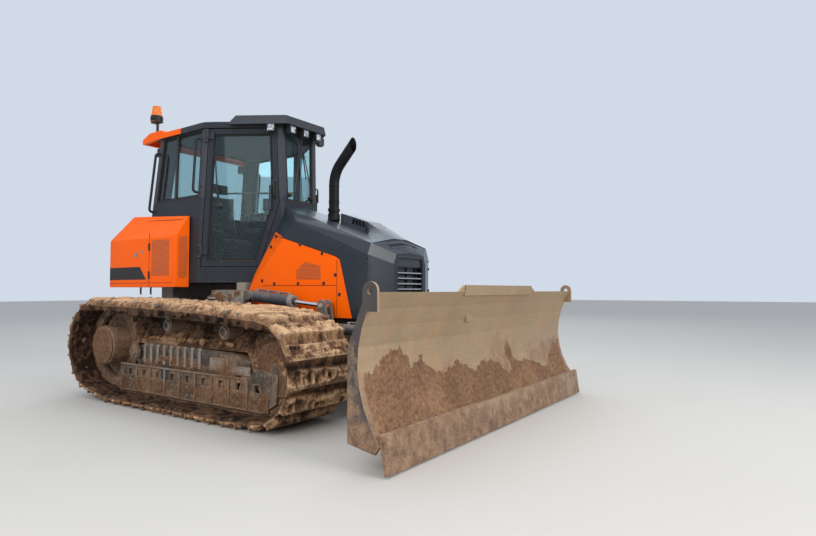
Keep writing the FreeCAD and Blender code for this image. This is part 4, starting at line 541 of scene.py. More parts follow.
# Materials
class Shader:
    """Short calls that add nodes to one tree: a socket given as an input is linked, a number is set."""

    def __init__(self, tree):
        self.tree = tree

    def add(self, kind, inputs=(), **settings):
        """New node of a kind, with its inputs linked or set."""
        node = self.tree.nodes.new("ShaderNode" + kind)
        for name, value in settings.items():
            setattr(node, name, value)
        for key, value in dict(inputs).items():
            if isinstance(value, bpy.types.NodeSocket):
                self.tree.links.new(value, node.inputs[key])
            else:
                node.inputs[key].default_value = value
        return node

    def place(self, scale=None):
        """Object coordinates, stretched where a scale is given."""
        spot = self.add("TexCoord").outputs["Object"]
        return self.add("Mapping", {"Vector": spot, "Scale": scale}).outputs[0] if scale else spot

    def math(self, operation, a, b=0.0, clamp=False):
        """One arithmetic step."""
        return self.add("Math", {0: a, 1: b}, operation=operation, use_clamp=clamp).outputs[0]

    def total(self, *terms):
        """Sum of terms, each a pair of a value and its weight."""
        result = 0.0
        for value, weight in terms:
            result = self.add("Math", {0: value, 1: weight, 2: result}, operation="MULTIPLY_ADD").outputs[0]
        return result

    def spread(self, value, low, high, out_low=0.0, out_high=1.0):
        """Straight ramp from low to high, level beyond both."""
        sockets = {"Value": value, "From Min": low, "From Max": high, "To Min": out_low, "To Max": out_high}
        return self.add("MapRange", sockets).outputs[0]

    def noise(self, scale, detail=4.0, roughness=0.55, place=None):
        """Fractal noise from 0 to 1, on object coordinates unless a place is given."""
        sockets = {"Vector": place or self.place(), "Scale": scale, "Detail": detail,
                   "Roughness": roughness}
        return self.add("TexNoise", sockets).outputs[0]

    def mix(self, share, a, b):
        """Colour between a and b."""
        return self.add("Mix", {0: share, 6: a, 7: b}, data_type="RGBA").outputs[2]

    def facing_up(self):
        """Upward part of the surface normal, -1 to 1."""
        return self.add("SeparateXYZ", {0: self.add("NewGeometry").outputs["Normal"]}).outputs[2]

    def height(self):
        """Height over the object's origin."""
        return self.add("SeparateXYZ", {0: self.place()}).outputs[2]

    def effect(self, name, **values):
        """Places a node group with its own values."""
        node = self.add("Group", node_tree=bpy.data.node_groups[name])
        for key, value in values.items():
            socket = node.inputs[key.capitalize()]
            if isinstance(value, bpy.types.NodeSocket):
                self.tree.links.new(value, socket)
            else:
                socket.default_value = value
        return node.outputs

    def bump(self, height, strength, distance):
        """Normal disturbed by a height."""
        return self.add("Bump", {"Height": height, "Strength": strength, "Distance": distance}).outputs[0]


def rgb(code, alpha=1.0):
    """Linear colour of an sRGB hex code."""
    parts = np.array([int(code[i:i + 2], 16) for i in (0, 2, 4)]) / 255.0
    linear = np.where(parts <= 0.04045, parts / 12.92, ((parts + 0.055) / 1.055) ** 2.4)
    return (*linear.tolist(), alpha)


def make_effect(name, inputs, outputs, fill):
    """Node group with named inputs and outputs; fill gives the socket behind each output."""
    tree = bpy.data.node_groups.new(name, "ShaderNodeTree")
    for label, default in inputs.items():
        kind = "NodeSocketFloat" if isinstance(default, float) else "NodeSocketColor"
        tree.interface.new_socket(label, in_out="INPUT", socket_type=kind).default_value = default
    for label, kind in outputs.items():
        tree.interface.new_socket(label, in_out="OUTPUT", socket_type="NodeSocket" + kind)
    given, result = tree.nodes.new("NodeGroupInput").outputs, tree.nodes.new("NodeGroupOutput").inputs
    for label, socket in fill(Shader(tree), given).items():
        tree.links.new(socket, result[label])


def caked_soil(s, given):
    """Mud mask from height, upward faces and patchy noise; its colour runs from wet brown to dry tan by
    noise, with painted light that makes upward faces a little lighter.
    """
    level = s.spread(s.height(), given["Low"], given["High"], 1.0, 0.0)
    patch, lumps, grain = s.noise(2.3, 6.0, 0.6), s.noise(15.0, 6.0, 0.62), s.noise(110.0, 3.0, 0.6)
    up = s.math("MAXIMUM", s.facing_up(), -0.25)
    cover = s.total((level, 0.8), (up, 0.34), (patch, 1.7), (lumps, 0.9), (given["Amount"], 1.3))
    mask = s.spread(cover, 2.12, 2.42)
    # Painted light: the upward part of the normal lightens the tone of top faces.
    tone = s.total((lumps, 1.0), (grain, 0.85), (patch, 0.5), (up, 0.12))
    dark_and_shaded = s.mix(s.spread(tone, 0.78, 1.12), given["Wet"], given["Middle"])
    colour = s.mix(s.spread(tone, 1.1, 1.62), dark_and_shaded, given["Dry"])
    return {"Mask": mask, "Colour": colour,
            "Height": s.math("MULTIPLY", s.total((lumps, 0.7), (grain, 0.3)), mask)}


def dust_film(s, given):
    """Thin dust that settles on upward faces and hangs in streaks below them."""
    streak = s.noise(7.0, 5.0, 0.6, s.place((1.0, 1.0, 0.12)))
    patch = s.noise(1.6, 5.0, 0.6)
    up = s.math("MAXIMUM", s.facing_up(), 0.0)
    film = s.total((up, 0.55), (streak, 0.9), (patch, 0.8), (given["Amount"], 1.0))
    return {"Mask": s.math("MULTIPLY", s.spread(film, 1.15, 2.3), 0.8),
            "Streaks": s.spread(streak, 0.5, 0.75)}


def paint_film(s, given):
    """Sprayed paint: slow drift and fine mottle of its colour, patchy gloss and a light orange peel."""
    drift, mottle, peel = s.noise(0.9, 3.0), s.noise(24.0, 4.0), s.noise(260.0, 2.0)
    dark = s.mix(s.spread(drift, 0.3, 0.7, 0.0, 0.5), given["Paint"], given["Shade"])
    colour = s.mix(s.spread(mottle, 0.4, 0.75, 0.0, 0.18), dark, given["Shade"])
    gloss = s.total((mottle, 0.16), (drift, 0.14), (given["Roughness"], 1.0))
    return {"Colour": colour, "Roughness": gloss, "Height": s.total((peel, 0.5), (mottle, 0.2))}


def edge_wear(s, given):
    """Sharp convex edges, broken up by noise."""
    point = s.add("NewGeometry").outputs["Pointiness"]
    edge = s.total((point, 1.0), (s.noise(38.0, 5.0, 0.7), 0.09))
    return {"Mask": s.math("MULTIPLY", s.spread(edge, 0.585, 0.625), given["Amount"])}


def scratches(s, given):
    """Long thin scratches in two directions: noise squeezed across each, cut off near its peak."""
    first = s.spread(s.noise(9.0, 4.0, 0.7, s.place((26.0, 0.5, 26.0))), 0.60, 0.68)
    second = s.spread(s.noise(7.0, 4.0, 0.7, s.place((22.0, 22.0, 0.5))), 0.62, 0.70)
    mask = s.math("MULTIPLY", s.math("MAXIMUM", first, second), given["Amount"], True)
    return {"Mask": mask, "Height": s.math("SUBTRACT", 1.0, mask)}


def woven(s, given):
    """Weave from three crossed sine waves, with a slub of noise."""
    spot = s.add("SeparateXYZ", {0: s.place()}).outputs
    waves = [s.math("SINE", s.math("MULTIPLY", spot[axis], given["Pitch"])) for axis in range(3)]
    cross = s.total((s.math("MULTIPLY", waves[0], waves[1]), 0.5),
                    (s.math("MULTIPLY", waves[1], waves[2]), 0.5),
                    (s.noise(60.0), 0.5))
    return {"Height": cross, "Mask": s.spread(cross, -0.1, 0.7)}


SOIL = {"Wet": rgb("382a20"), "Middle": rgb("6f5644"), "Dry": rgb("aa8a6c")}


def make_effects():
    """Node groups that the materials share."""
    make_effect("Caked soil", {"Amount": 0.5, "Low": 0.0, "High": 1.5, **SOIL},
                {"Mask": "Float", "Colour": "Color", "Height": "Float"}, caked_soil)
    make_effect("Dust film", {"Amount": 0.3}, {"Mask": "Float", "Streaks": "Float"}, dust_film)
    make_effect("Paint film", {"Paint": rgb("ff6a00"), "Shade": rgb("e05800"), "Roughness": 0.3},
                {"Colour": "Color", "Roughness": "Float", "Height": "Float"}, paint_film)
    make_effect("Edge wear", {"Amount": 1.0}, {"Mask": "Float"}, edge_wear)
    make_effect("Scratches", {"Amount": 1.0}, {"Mask": "Float", "Height": "Float"}, scratches)
    make_effect("Woven cloth", {"Pitch": 900.0}, {"Height": "Float", "Mask": "Float"}, woven)


DUST = rgb("a58f76")


def new_material(name, **plain):
    """Material with a Principled surface; the plain values go on its own sockets."""
    made = bpy.data.materials.new(name)
    made.use_nodes = True
    surface = made.node_tree.nodes["Principled BSDF"]
    for key, value in plain.items():
        surface.inputs[key.replace("_", " ")].default_value = value
    return Shader(made.node_tree), surface


def connect(s, surface, **sockets):
    """Links sockets to the inputs of a surface, named with underscores for spaces."""
    for key, socket in sockets.items():
        s.tree.links.new(socket, surface.inputs[key.replace("_", " ")])


def painted(name, paint, shade, roughness, soil=0.0, low=0.9, high=2.2, dust=0.2, wear=0.6, bare="55504a",
            metal=0.0, coat=0.0, **plain):
    """Painted or bare metal under wear, dust and mud, in that order."""
    s, surface = new_material(name, Metallic=metal, Coat_Weight=coat, Coat_Roughness=0.12, **plain)
    base = rgb(paint) if isinstance(paint, str) else (*paint, 1.0)
    film = s.effect("Paint film", paint=base, shade=rgb(shade), roughness=roughness - 0.15)
    worn = s.effect("Edge wear", amount=wear)["Mask"]
    film_dust = s.effect("Dust film", amount=dust)["Mask"]
    mud = s.effect("Caked soil", amount=soil, low=low, high=high)
    colour = s.mix(worn, film["Colour"], rgb(bare))
    colour = s.mix(film_dust, colour, DUST)
    dull = s.math("MAXIMUM", s.math("MAXIMUM", mud["Mask"], s.math("MULTIPLY", film_dust, 0.8)),
                  film["Roughness"])
    height = s.total((film["Height"], 0.03), (mud["Height"], 1.0), (mud["Mask"], 0.6))
    connect(s, surface, Base_Color=s.mix(mud["Mask"], colour, mud["Colour"]), Roughness=dull,
            Normal=s.bump(height, 0.5, 0.006))
    return s, surface


def make_paints(colours):
    """Paints, plastics and dark metals, all built by painted()."""
    painted("Orange paint", colours.orange, "f65d00", 0.38, soil=-0.62, low=0.85, high=1.45, dust=-0.45,
            wear=0.3, bare="a85a30", coat=0.05,
            Specular_IOR_Level=0.07)
    painted("Grey body paint", colours.grey, "1c232b", 0.4, soil=-0.62, low=0.9, high=1.5, dust=-0.45,
            wear=0.3, bare="4a4f55", coat=0.28,
            Specular_IOR_Level=0.25)
    painted("Cab paint", colours.cab, "25292f", 0.58, soil=-0.75, low=0.9, high=1.5, dust=-0.25, wear=0.3,
            bare="5c5f63", coat=0.03,
            Specular_IOR_Level=0.3)
    painted("Frame paint", "55534f", "403d3a", 0.5, soil=0.0, low=0.35, high=1.5, dust=0.5, wear=1.0,
            bare="9a958d")
    painted("Chassis paint", "2c2b2a", "211f1e", 0.55, soil=0.22, low=0.3, high=1.5, dust=0.35, wear=1.0,
            bare="6a655e")
    painted("Cylinder paint", "3d434b", "33383f", 0.42, soil=-0.42, low=0.5, high=1.3, dust=0.25, wear=0.8,
            bare="8d8a85")
    painted("Black paint", "17181a", "101112", 0.5, soil=-0.7, dust=0.12, wear=0.5)
    painted("Exhaust steel", "0b0d10", "121215", 0.5, soil=-1.0, dust=-0.8, wear=0.3, bare="2b2724",
            Specular_IOR_Level=0.2)
    painted("Muddy steel", "443b33", "2d2620", 0.66, soil=0.24, low=0.2, high=1.4, dust=0.3, wear=1.0,
            bare="8d857b", metal=0.1)
    painted("Track steel", "332c26", "221d19", 0.7, soil=0.5, low=0.2, high=1.6, dust=0.1, wear=0.8,
            bare="7d756c")
    painted("Trim bolt", "0e0e10", "161618", 0.5, soil=-0.8, dust=-0.1, wear=0.3, bare="4a4a4c")
    painted("Zinc fitting", "a9a9a5", "87857f", 0.36, soil=-0.55, dust=0.25, wear=0.3, bare="c8c8c4",
            metal=0.85)
    painted("Seam shadow", "0c0c0d", "050505", 0.8, soil=-1.0, dust=-0.7, wear=0.0)
    painted("Rubber seal", "131314", "1c1c1d", 0.66, soil=-0.9, dust=0.16, wear=0.2, bare="303030")
    painted("Black plastic", "1b1c1e", "141516", 0.55, soil=-0.9, dust=0.14, wear=0.3, bare="3a3a3a")
    painted("Label band", "1b1716", "141111", 0.42, soil=-0.8, dust=-0.5, wear=0.2, bare="3a3634",
            Specular_IOR_Level=0.3)
    s, surface = painted("Vent mesh", "f2701c", "dd6010", 0.6, soil=-0.8, dust=-0.1, wear=0.0)
    spot = s.add("SeparateXYZ", {0: s.place()}).outputs
    across = s.math("ABSOLUTE", s.math("SINE", s.math("MULTIPLY", s.math("ADD", spot[0], spot[1]), 520.0)))
    up = s.math("ABSOLUTE", s.math("SINE", s.math("MULTIPLY", spot[2], 250.0)))
    hole = s.spread(s.math("MULTIPLY", across, up), 0.25, 0.55)
    paint = surface.inputs["Base Color"].links[0].from_socket
    connect(s, surface, Base_Color=s.mix(hole, paint, rgb("8a3410")),
            Normal=s.bump(s.math("SUBTRACT", 1.0, hole), 0.6, 0.003))
    painted("Slat metal", "8e949b", "747a82", 0.36, soil=-0.9, dust=0.2, wear=0.6, bare="c0c2c4",
            metal=0.55)


def make_mud():
    """Dried mud: painted shade makes it dark brown in the gaps and hollows, and painted highlight makes it
    tan on crests and upward faces, by the painted shading attribute, pointiness and noise.
    """
    s, surface = new_material("Dried mud", Specular_IOR_Level=0.25)
    lumps, grain, patch = s.noise(38.0, 6.0, 0.68), s.noise(190.0, 4.0, 0.65), s.noise(2.6, 5.0, 0.6)
    # Painted shading from the mud pieces' own attribute.
    painted_shading = s.add("Attribute", attribute_name="painted_shading").outputs["Fac"]
    # Pointiness paints concave hollows darker, as painted shade.
    hollow_shade = s.add("NewGeometry").outputs["Pointiness"]
    # Painted light in the tone: hollows and gaps get painted shade, and the upward part of the normal
    # paints top faces a little lighter.
    tone = s.total((lumps, 0.9), (grain, 0.55), (patch, 0.55), (hollow_shade, 2.2), (painted_shading, 0.62),
                   (s.facing_up(), 0.06))
    # The dark browns 2b1e16 and 6b4e3a serve as painted shade, and the light tan cfab86 as painted
    # highlight on crests.
    dark_and_shaded = s.mix(s.spread(tone, 1.55, 2.0), rgb("2b1e16"), rgb("6b4e3a"))
    light_and_lit = s.mix(s.spread(tone, 2.02, 2.4), dark_and_shaded, rgb("a07d5e"))
    connect(s, surface, Base_Color=s.mix(s.spread(tone, 2.4, 2.85), light_and_lit, rgb("cfab86")),
            Roughness=s.spread(patch, 0.35, 0.65, 0.86, 0.99),
            Normal=s.bump(s.total((lumps, 0.7), (grain, 0.4)), 0.8, 0.016))


def make_metals():
    """Worn steel of the blade, with plainer ends, and the cylinders' polished rods."""
    s, surface = new_material("Worn blade steel", Metallic=0.72)
    rub = s.effect("Scratches", amount=0.8)
    film = s.effect("Paint film", paint=rgb("a8957a"), shade=rgb("806e57"), roughness=0.3)
    rust = s.spread(s.total((s.noise(5.0, 7.0, 0.68), 1.0), (s.noise(60.0), 0.3)), 0.68, 0.84)
    mud = s.effect("Caked soil", amount=0.36, low=0.0, high=1.1)
    dust = s.effect("Dust film", amount=0.75)["Mask"]
    side = s.spread(s.math("ABSOLUTE", s.add("SeparateXYZ", {0: s.place()}).outputs[1]), 1.7480, 1.7492)
    colour = s.mix(rub["Mask"], film["Colour"], rgb("c4c1bb"))
    colour = s.mix(s.math("MULTIPLY", rust, 0.75), colour, rgb("8a5a34"))
    colour = s.mix(s.math("MULTIPLY", dust, s.math("SUBTRACT", 1.0, side)), colour, rgb("ab8a66"))
    colour = s.mix(s.math("MULTIPLY", side, 0.85), colour, rgb("3c3d42"))
    connect(s, surface, Base_Color=s.mix(mud["Mask"], colour, mud["Colour"]),
            Metallic=s.spread(s.total((mud["Mask"], 1.0), (dust, 1.0), (rust, 0.6)), 0.0, 0.9, 0.85, 0.0),
            Roughness=s.math("MAXIMUM", s.math("MULTIPLY", mud["Mask"], 0.9),
                             s.total((film["Roughness"], 1.0), (dust, 0.4))),
            Normal=s.bump(s.total((rub["Height"], 0.12), (mud["Height"], 1.0), (rust, 0.1)), 0.5, 0.005))
    s, surface = new_material("Rod chrome", Metallic=1.0)
    wipe = s.noise(6.0, 5.0, 0.6, s.place((0.5, 30.0, 30.0)))
    connect(s, surface, Base_Color=s.mix(s.spread(wipe, 0.55, 0.75), rgb("dfe2e6"), rgb("9d968c")),
            Roughness=s.spread(wipe, 0.35, 0.75, 0.08, 0.3))


def make_clear():
    """Window glass, lenses of beacon, work and tail lamps, and the display's glass."""
    s, surface = new_material("Window glass", Metallic=0.0, Transmission_Weight=0.985, IOR=1.3)
    smear = s.noise(3.0, 5.0, 0.6, s.place((1.0, 1.0, 0.35)))
    connect(s, surface, Base_Color=s.mix(s.spread(smear, 0.4, 0.8, 0.0, 0.4), rgb("bfd9dd"), rgb("cdd8d8")),
            Roughness=s.spread(smear, 0.55, 0.8, 0.005, 0.05))
    s, surface = new_material("Amber lens", Transmission_Weight=0.35, IOR=1.46)
    ribs = s.math("SINE", s.math("MULTIPLY", s.height(), 900.0))
    connect(s, surface, Base_Color=s.mix(s.spread(s.noise(30.0), 0.3, 0.7), rgb("ff7a12"), rgb("ff9a2e")),
            Roughness=s.spread(ribs, -1.0, 1.0, 0.12, 0.26), Normal=s.bump(ribs, 0.3, 0.002))
    s, surface = new_material("Lamp lens", IOR=1.46)
    cells = s.add("TexVoronoi", {"Vector": s.place(), "Scale": 46.0}).outputs["Distance"]
    connect(s, surface, Base_Color=s.mix(s.spread(cells, 0.1, 0.5), rgb("f4f7fa"), rgb("9aa3ad")),
            Roughness=s.spread(cells, 0.0, 0.6, 0.08, 0.35), Metallic=s.spread(cells, 0.2, 0.5, 0.2, 0.7),
            Normal=s.bump(cells, 0.6, 0.004))
    s, surface = new_material("Tail lens", Transmission_Weight=0.2, IOR=1.46)
    cells = s.add("TexVoronoi", {"Vector": s.place(), "Scale": 70.0}).outputs["Distance"]
    connect(s, surface, Base_Color=s.mix(s.spread(cells, 0.1, 0.6), rgb("a80f0a"), rgb("6d0805")),
            Roughness=s.spread(cells, 0.0, 0.6, 0.12, 0.3), Normal=s.bump(cells, 0.5, 0.002))
    s, surface = new_material("Screen glass", IOR=1.5, Coat_Weight=0.6)
    connect(s, surface, Base_Color=s.mix(s.spread(s.noise(12.0), 0.4, 0.6), rgb("0c1116"), rgb("131c22")),
            Roughness=s.spread(s.noise(40.0), 0.3, 0.7, 0.06, 0.2))


def make_soft_finishes():
    """Cloth of the seat and lining of the cab."""
    s, surface = new_material("Woven cloth", Sheen_Weight=0.35, Sheen_Roughness=0.5)
    weave = s.effect("Woven cloth", pitch=1100.0)
    fade = s.noise(5.0, 4.0)
    colour = s.mix(weave["Mask"], rgb("1b1c20"), rgb("33353b"))
    connect(s, surface, Base_Color=s.mix(s.spread(fade, 0.45, 0.7, 0.0, 0.4), colour, rgb("4a4640")),
            Roughness=s.spread(fade, 0.3, 0.7, 0.82, 0.95), Normal=s.bump(weave["Height"], 0.35, 0.0012))
    s, surface = new_material("Cab lining", Roughness=0.8)
    speck = s.noise(140.0, 3.0, 0.7)
    connect(s, surface, Base_Color=s.mix(s.spread(speck, 0.35, 0.65), rgb("3d474f"), rgb("4c565d")),
            Roughness=s.spread(speck, 0.3, 0.7, 0.75, 0.9), Normal=s.bump(speck, 0.3, 0.001))


# Undercarriage
def belt_mud(side, upper):
    """Mud over the shoes: it falls from the grouser's tip to 0.6 of its height, then breaks off.

    Clods and a slow swell are added. Gives the patch and its painted shading, which paints shade in the
    gaps and highlight on the crests."""
    point, out, _, half = shoe_frames(upper)
    count, across = (26, 118) if upper else (14, 60)
    s = np.concatenate([[-half - 1, -half + 4, -half + 9, -half + 19],
                        np.linspace(-half + 26, half - 2, count - 4)])[:, None]
    reach = SHOE_HALF_WIDTH + 3.0
    middle = side * GAUGE_HALF * 1000
    y = middle + np.linspace(reach, -reach, across)
    flat = on_shoes(s, np.full((len(point), count, across), 80.0), y, upper)
    up = out[:, 1][:, None, None]
    over = np.clip(up, 0, 1)
    big, clump, fine = rough(flat, 0.16, 2, 3), clods(flat, 0.075, 8), rough(flat, 0.022, 2, 15)
    bank = np.clip((reach - np.abs(y - middle)) / 30.0, 0, 1)
    body = s + half
    level = np.where(body < 19, 0.93, 0.60 + 0.33
                     * np.exp(-(body - 19) / 26)) * np.clip(body / 5 + 0.2, 0.3, 1)
    broken = np.clip((2 * half - body - 10 - 26 * np.clip(big + 0.5 * clump, -0.3, 1) * (1 - over)) / 12.0,
                     0, 1)
    lumps = 0.32 * big + 0.42 * clump + 0.10 * fine
    fill = level + lumps * np.where(body < 24, 0.22 + 0.6 * over, 1.0) + 0.24 * over
    fill = np.clip(fill * (broken + 0.75 * over * (1 - broken)), 0.03,
                   np.where(up < -0.6, 0.97, 1.5)) * (0.3 + 0.7 * bank)
    wide = y + np.sign(y - middle) * (1 - bank) * (4.0 + 12.0 * rough(flat, 0.05, 2, 21))
    face = on_shoes(s, PLATE_HIGH + (TIP - PLATE_HIGH) * fill, wide, upper)
    hidden = on_shoes(s, np.full((len(point), count, 2), 51.0), y[[-1, 0]], upper)
    rings = np.concatenate([face, hidden], 2).reshape(len(point) * count, -1, 3)
    # Painted shading: low in the gaps between clods, high on crests and where the mud is fuller.
    painted_shading = np.concatenate([0.8 * clump + 0.3 * big + 0.9 * (fill - 0.8) + 0.35 * (body < 14) * (1 - over),
                             0 * hidden[..., 0]], 2)
    rings[..., 2] = np.maximum(rings[..., 2], 0.0015)
    return skin(rings), painted_shading


def lining_mud(side, half_of_shoe):
    """Mud that hangs in clods from the shoes' inner faces beside the link rails, and its painted shading,
    which paints it dark as shade.
    """
    half = shoe_frames()[3]
    s = np.linspace(-half - 2, half + 2, 10)
    y = np.sort(side * GAUGE_HALF * 1000 + half_of_shoe * np.linspace(118.0, 366.0, 34))
    flat = on_shoes(s[:, None], np.full((SHOES, len(s), len(y)), 40.0), y)
    up = shoe_frames()[1][:, 1][:, None, None]
    outer = np.abs(y) > GAUGE_HALF * 1000
    rim = np.abs(y) > GAUGE_HALF * 1000 + 290
    bank = np.clip(np.minimum(y - y[0], y[-1] - y) / 9.0, 0, 1)
    clump = clods(flat, 0.07, 31)
    deep = (11.0 + 12.0 * rough(flat, 0.12, 3, 33) + 9.0
            * clump) * (1.0 + np.clip(up, 0, 1) * (0.4 + 0.6 * outer + 0.7 * rim))
    face = on_shoes(s[:, None], PLATE_LOW - np.clip(deep, -3.0, 44.0 + 26.0 * (rim & (up > 0.4))) * bank, y)
    hidden = on_shoes(s[:, None], np.full((SHOES, len(s), 2), 51.0), y[[-1, 0]])
    # Painted shade: the lining is painted dark, at -0.9, as if in the chain's shadow.
    painted_shading = np.concatenate([0.5 * clump - 0.9 + 0 * deep, np.full(hidden.shape[:3], -0.9)], 2)
    return grid(np.concatenate([face, hidden], 2).reshape(SHOES * len(s), -1, 3), wrap_u=True,
                wrap_v=True), painted_shading


def link_pins():
    """Bushing ends on both faces of both link rails, one for each joint between two shoes."""
    total = track_runs()[-1][-1]
    point, _ = track_at(np.arange(SHOES) * total / SHOES)
    boss = lathe([(0.021, -0.004), (0.021, 0.004), (0.015, 0.0075)], axis=SIDE, sides=12)
    patches = []
    for face, turn in ((-0.103, 1), (-0.061, -1), (0.061, 1), (0.103, -1)):
        spot = at(np.stack([point[:, 0], np.full(SHOES, -GAUGE_HALF * 1000), point[:, 1]],
                           1)) + [0, face, 0]
        patches.append(copies(boss, spot, np.broadcast_to(np.diag([1.0, turn, turn]), (SHOES, 3, 3))))
    return pair(patches)


def guard_trim():
    """Ribs, flanges, cover plates and bolts on the outer face of the roller guard."""
    face, beam = -1248.0, -1216.0
    patches = []
    windows = 350.0 + 241.25 * np.arange(9)
    for x in windows[:-1] + 31.0 + 120.0:
        patches.append(block((x - 9, face - 15, 112), (x + 9, face + 2, 356), 0.004))
    for low, high in (((196, face - 12, 356), (2090, face + 2, 374)),
                      ((262, face - 9, 97), (2380, face + 2, 112)),
                      ((1985, face - 13, 392), (2230, face + 4, 470)),
                      ((2006, face - 22, 405), (2150, face - 6, 458))):
        patches.append(block(low, high, 0.004))
    flange = rounded(box_outline(0.043, 0.043), 0.009, 3)
    for x in windows:
        patches.append(band(flange, axes_to(SIDE)[0], at((x + 31, face, 293)), 0.010, -0.002, 0.006))
    for x in 590.0 + 112.0 * np.arange(9):
        patches.append(block((x - 17, beam - 16, 392), (x + 17, beam + 3, 566), 0.006))
        patches.append(block((x - 26, beam - 9, 560), (x + 26, beam + 3, 588), 0.005))
    patches.append(block((1640, beam - 14, 400), (1850, beam + 3, 520), 0.006))
    patches.append(block((1655, beam - 20, 415), (1835, beam - 6, 505), 0.004))
    places = [(x + 31, face, z) for x in windows
              for z in (150, 222)] + [(x, face - 13, 431) for x in (1996, 2219)]
    patches.append(bolts_on(places, SIDE, 0.013, 0.011))
    return pair(patches)


def drive_trim():
    """Bolt circles of the final drive, the pivot's cap, the carrier rollers' hubs, the idler's dish."""
    patches = []
    for radius, count, out, size in ((168.0, 14, -1340.0, 0.012), (58.0, 6, -1354.0, 0.009)):
        turn = 2 * np.pi * np.arange(count) / count
        spots = np.stack([radius * np.cos(turn), np.full(count, out), 545 + radius * np.sin(turn)], 1)
        patches.append(bolts_on(spots, SIDE, size, size * 0.8))
    cap = [(0.078, 0.0), (0.078, 0.030), (0.070, 0.038), (0.052, 0.038), (0.048, 0.046), (0.012, 0.046)]
    patches.append(lathe(cap, at((470, -1246, 500)), SIDE, 36))
    for x, z in ((985.0, 783.0), (1846.0, 752.0)):
        hub = [(0.050, -0.01), (0.050, 0.012), (0.044, 0.020), (0.030, 0.020), (0.026, 0.013),
               (0.008, 0.013)]
        patches.append(lathe(hub, at((x, -1230, z)), SIDE, 28))
    dish = [(0.092, -0.02), (0.092, 0.006), (0.080, 0.016), (0.050, 0.018), (0.044, 0.026), (0.010, 0.026)]
    patches.append(lathe(dish, at((2510, -1218, 475)), SIDE, 32))
    return pair(patches)


# Slabs of mud on the roller frame: corner, two edges, points along them, thickness in metres and seed
FRAME_SLABS = (((560, -1216, 362), (1560, 0, 0), (0, 0, 120), (150, 16), 0.030, 41),
               ((200, -1248, 108), (2250, 0, 0), (0, 0, 150), (190, 16), 0.013, 45),
               ((900, -675, 964), (470, 0, 0), (0, 0, 160), (48, 18), 0.010, 53),
               ((856, -660, 975), (420, 0, 0), (0, 60, 0), (40, 8), 0.010, 55))


def frame_mud():
    """Caked mud on the roller frame, its guards, the drive's cover and the idler, and its painted shading
    for the mud's shader.
    """
    patches = [crust(*slab, 0.12) for slab in FRAME_SLABS]
    patches.append(mud_disc((0, -1354, 545), SIDE, 0.192, 0.010, 49))
    patches.append(mud_disc((2510, -1222, 475), SIDE, 0.235, 0.018, 51))
    bank, bank_shading = mud_bank()
    patches.append(bank)
    count = sum(len(patch[0]) for patch in patches[:-1])
    # The slabs and discs get a slight painted shade of -0.1.
    painted_shading = np.concatenate([np.full(count, -0.1), bank_shading.ravel()])
    return pair(patches), np.tile(painted_shading, 2)


BANK_REAR, BANK_FRONT = 346.0, 2765.0      # ends of the mud between roller frame and chain
BANK_TURN = 2120.0                         # where it begins to stand upright, before the idler


def mud_bank():
    """Mud between the roller frame and the chain: a wall leaning in by lean v^0.8, with clods.

    It stands upright beside the sprocket and before the idler. Gives the patch and its painted shading,
    which grows darker towards the top as painted shade under the chain."""
    x, v = np.meshgrid(np.linspace(BANK_REAR, BANK_FRONT, 334), np.linspace(0, 1, 42), indexing="ij")
    ahead = np.clip((x - BANK_TURN) / 150, 0, 1)
    ahead = ahead ** 2 * (3 - 2 * ahead)
    line, out = track_at(np.linspace(0, track_runs()[-1][-1], 1500))
    top = line[out[:, 1] > 0.15]
    beside = np.clip((570 - x) / 130, 0, 1)
    roof = np.interp(x, *top[np.argsort(top[:, 0])].T) - 74 + 30 * beside
    foot = 588 - 196 * ahead
    ends = np.clip((BANK_FRONT - x) / 90, 0, 1)
    flat = at(np.stack([x, 0 * x - 1200, foot + (roof - foot) * v], -1))
    swell = 16 * rough(flat, 0.24, 3, 61) + 13 * clods(flat, 0.085, 63) + 4 * rough(flat, 0.02, 2, 66)
    fade = np.clip(np.minimum(v, 1 - v) * 9, 0, 1)
    lean = 165 - 150 * ahead - 105 * beside
    y = -1206 - 22 * ahead + lean * v ** 0.8 - swell * fade + 60 * (1 - ends)
    face = at(np.stack([x, np.minimum(y, -1030 - 90 * ahead),
                        foot + (roof - foot) * v * (0.75 + 0.25 * ends)], -1))
    back = at(np.stack([x[:, :2], -1016 - 130 * ahead[:, :2],
                        np.stack([face[:, -1, 2] * 1000, foot[:, 0]], 1)], -1))
    # Painted shading: lighter on swells, with painted shade growing towards the top, under the upper run.
    painted_shading = np.concatenate([swell / 34 - 0.25 - 0.5 * v, np.zeros((len(x), 2))], 1)
    return skin(np.concatenate([face, back], 1)), painted_shading


def track_clods(side):
    """Loose clods on the upper run and on the ledge of the roller frame."""
    chance = np.random.default_rng(70 + side)
    total = track_runs()[-1][-1]
    distance = np.linspace(0, total, 900)
    out = track_at(distance)[1]
    distance = distance[out[:, 1] > 0.75]
    pick = chance.choice(distance, 170) + chance.normal(0, 9, 170)
    point, out = track_at(pick)
    size = chance.gamma(3.0, 0.0042, 170).clip(0.006, 0.034)
    lift = 92.0 + size * 350
    y = side * GAUGE_HALF * 1000 + chance.uniform(-340, 340, 170)
    places = at(np.stack([point[:, 0] + out[:, 0] * lift, y, point[:, 1] + out[:, 1] * lift], 1))
    ledge = at(np.stack([chance.uniform(600, 2050, 70), side * chance.uniform(1035, 1205, 70),
                         np.full(70, 640.0)], 1))
    return scattered(places, size, 5) + scattered(ledge, chance.uniform(0.010, 0.035, 70), 6)


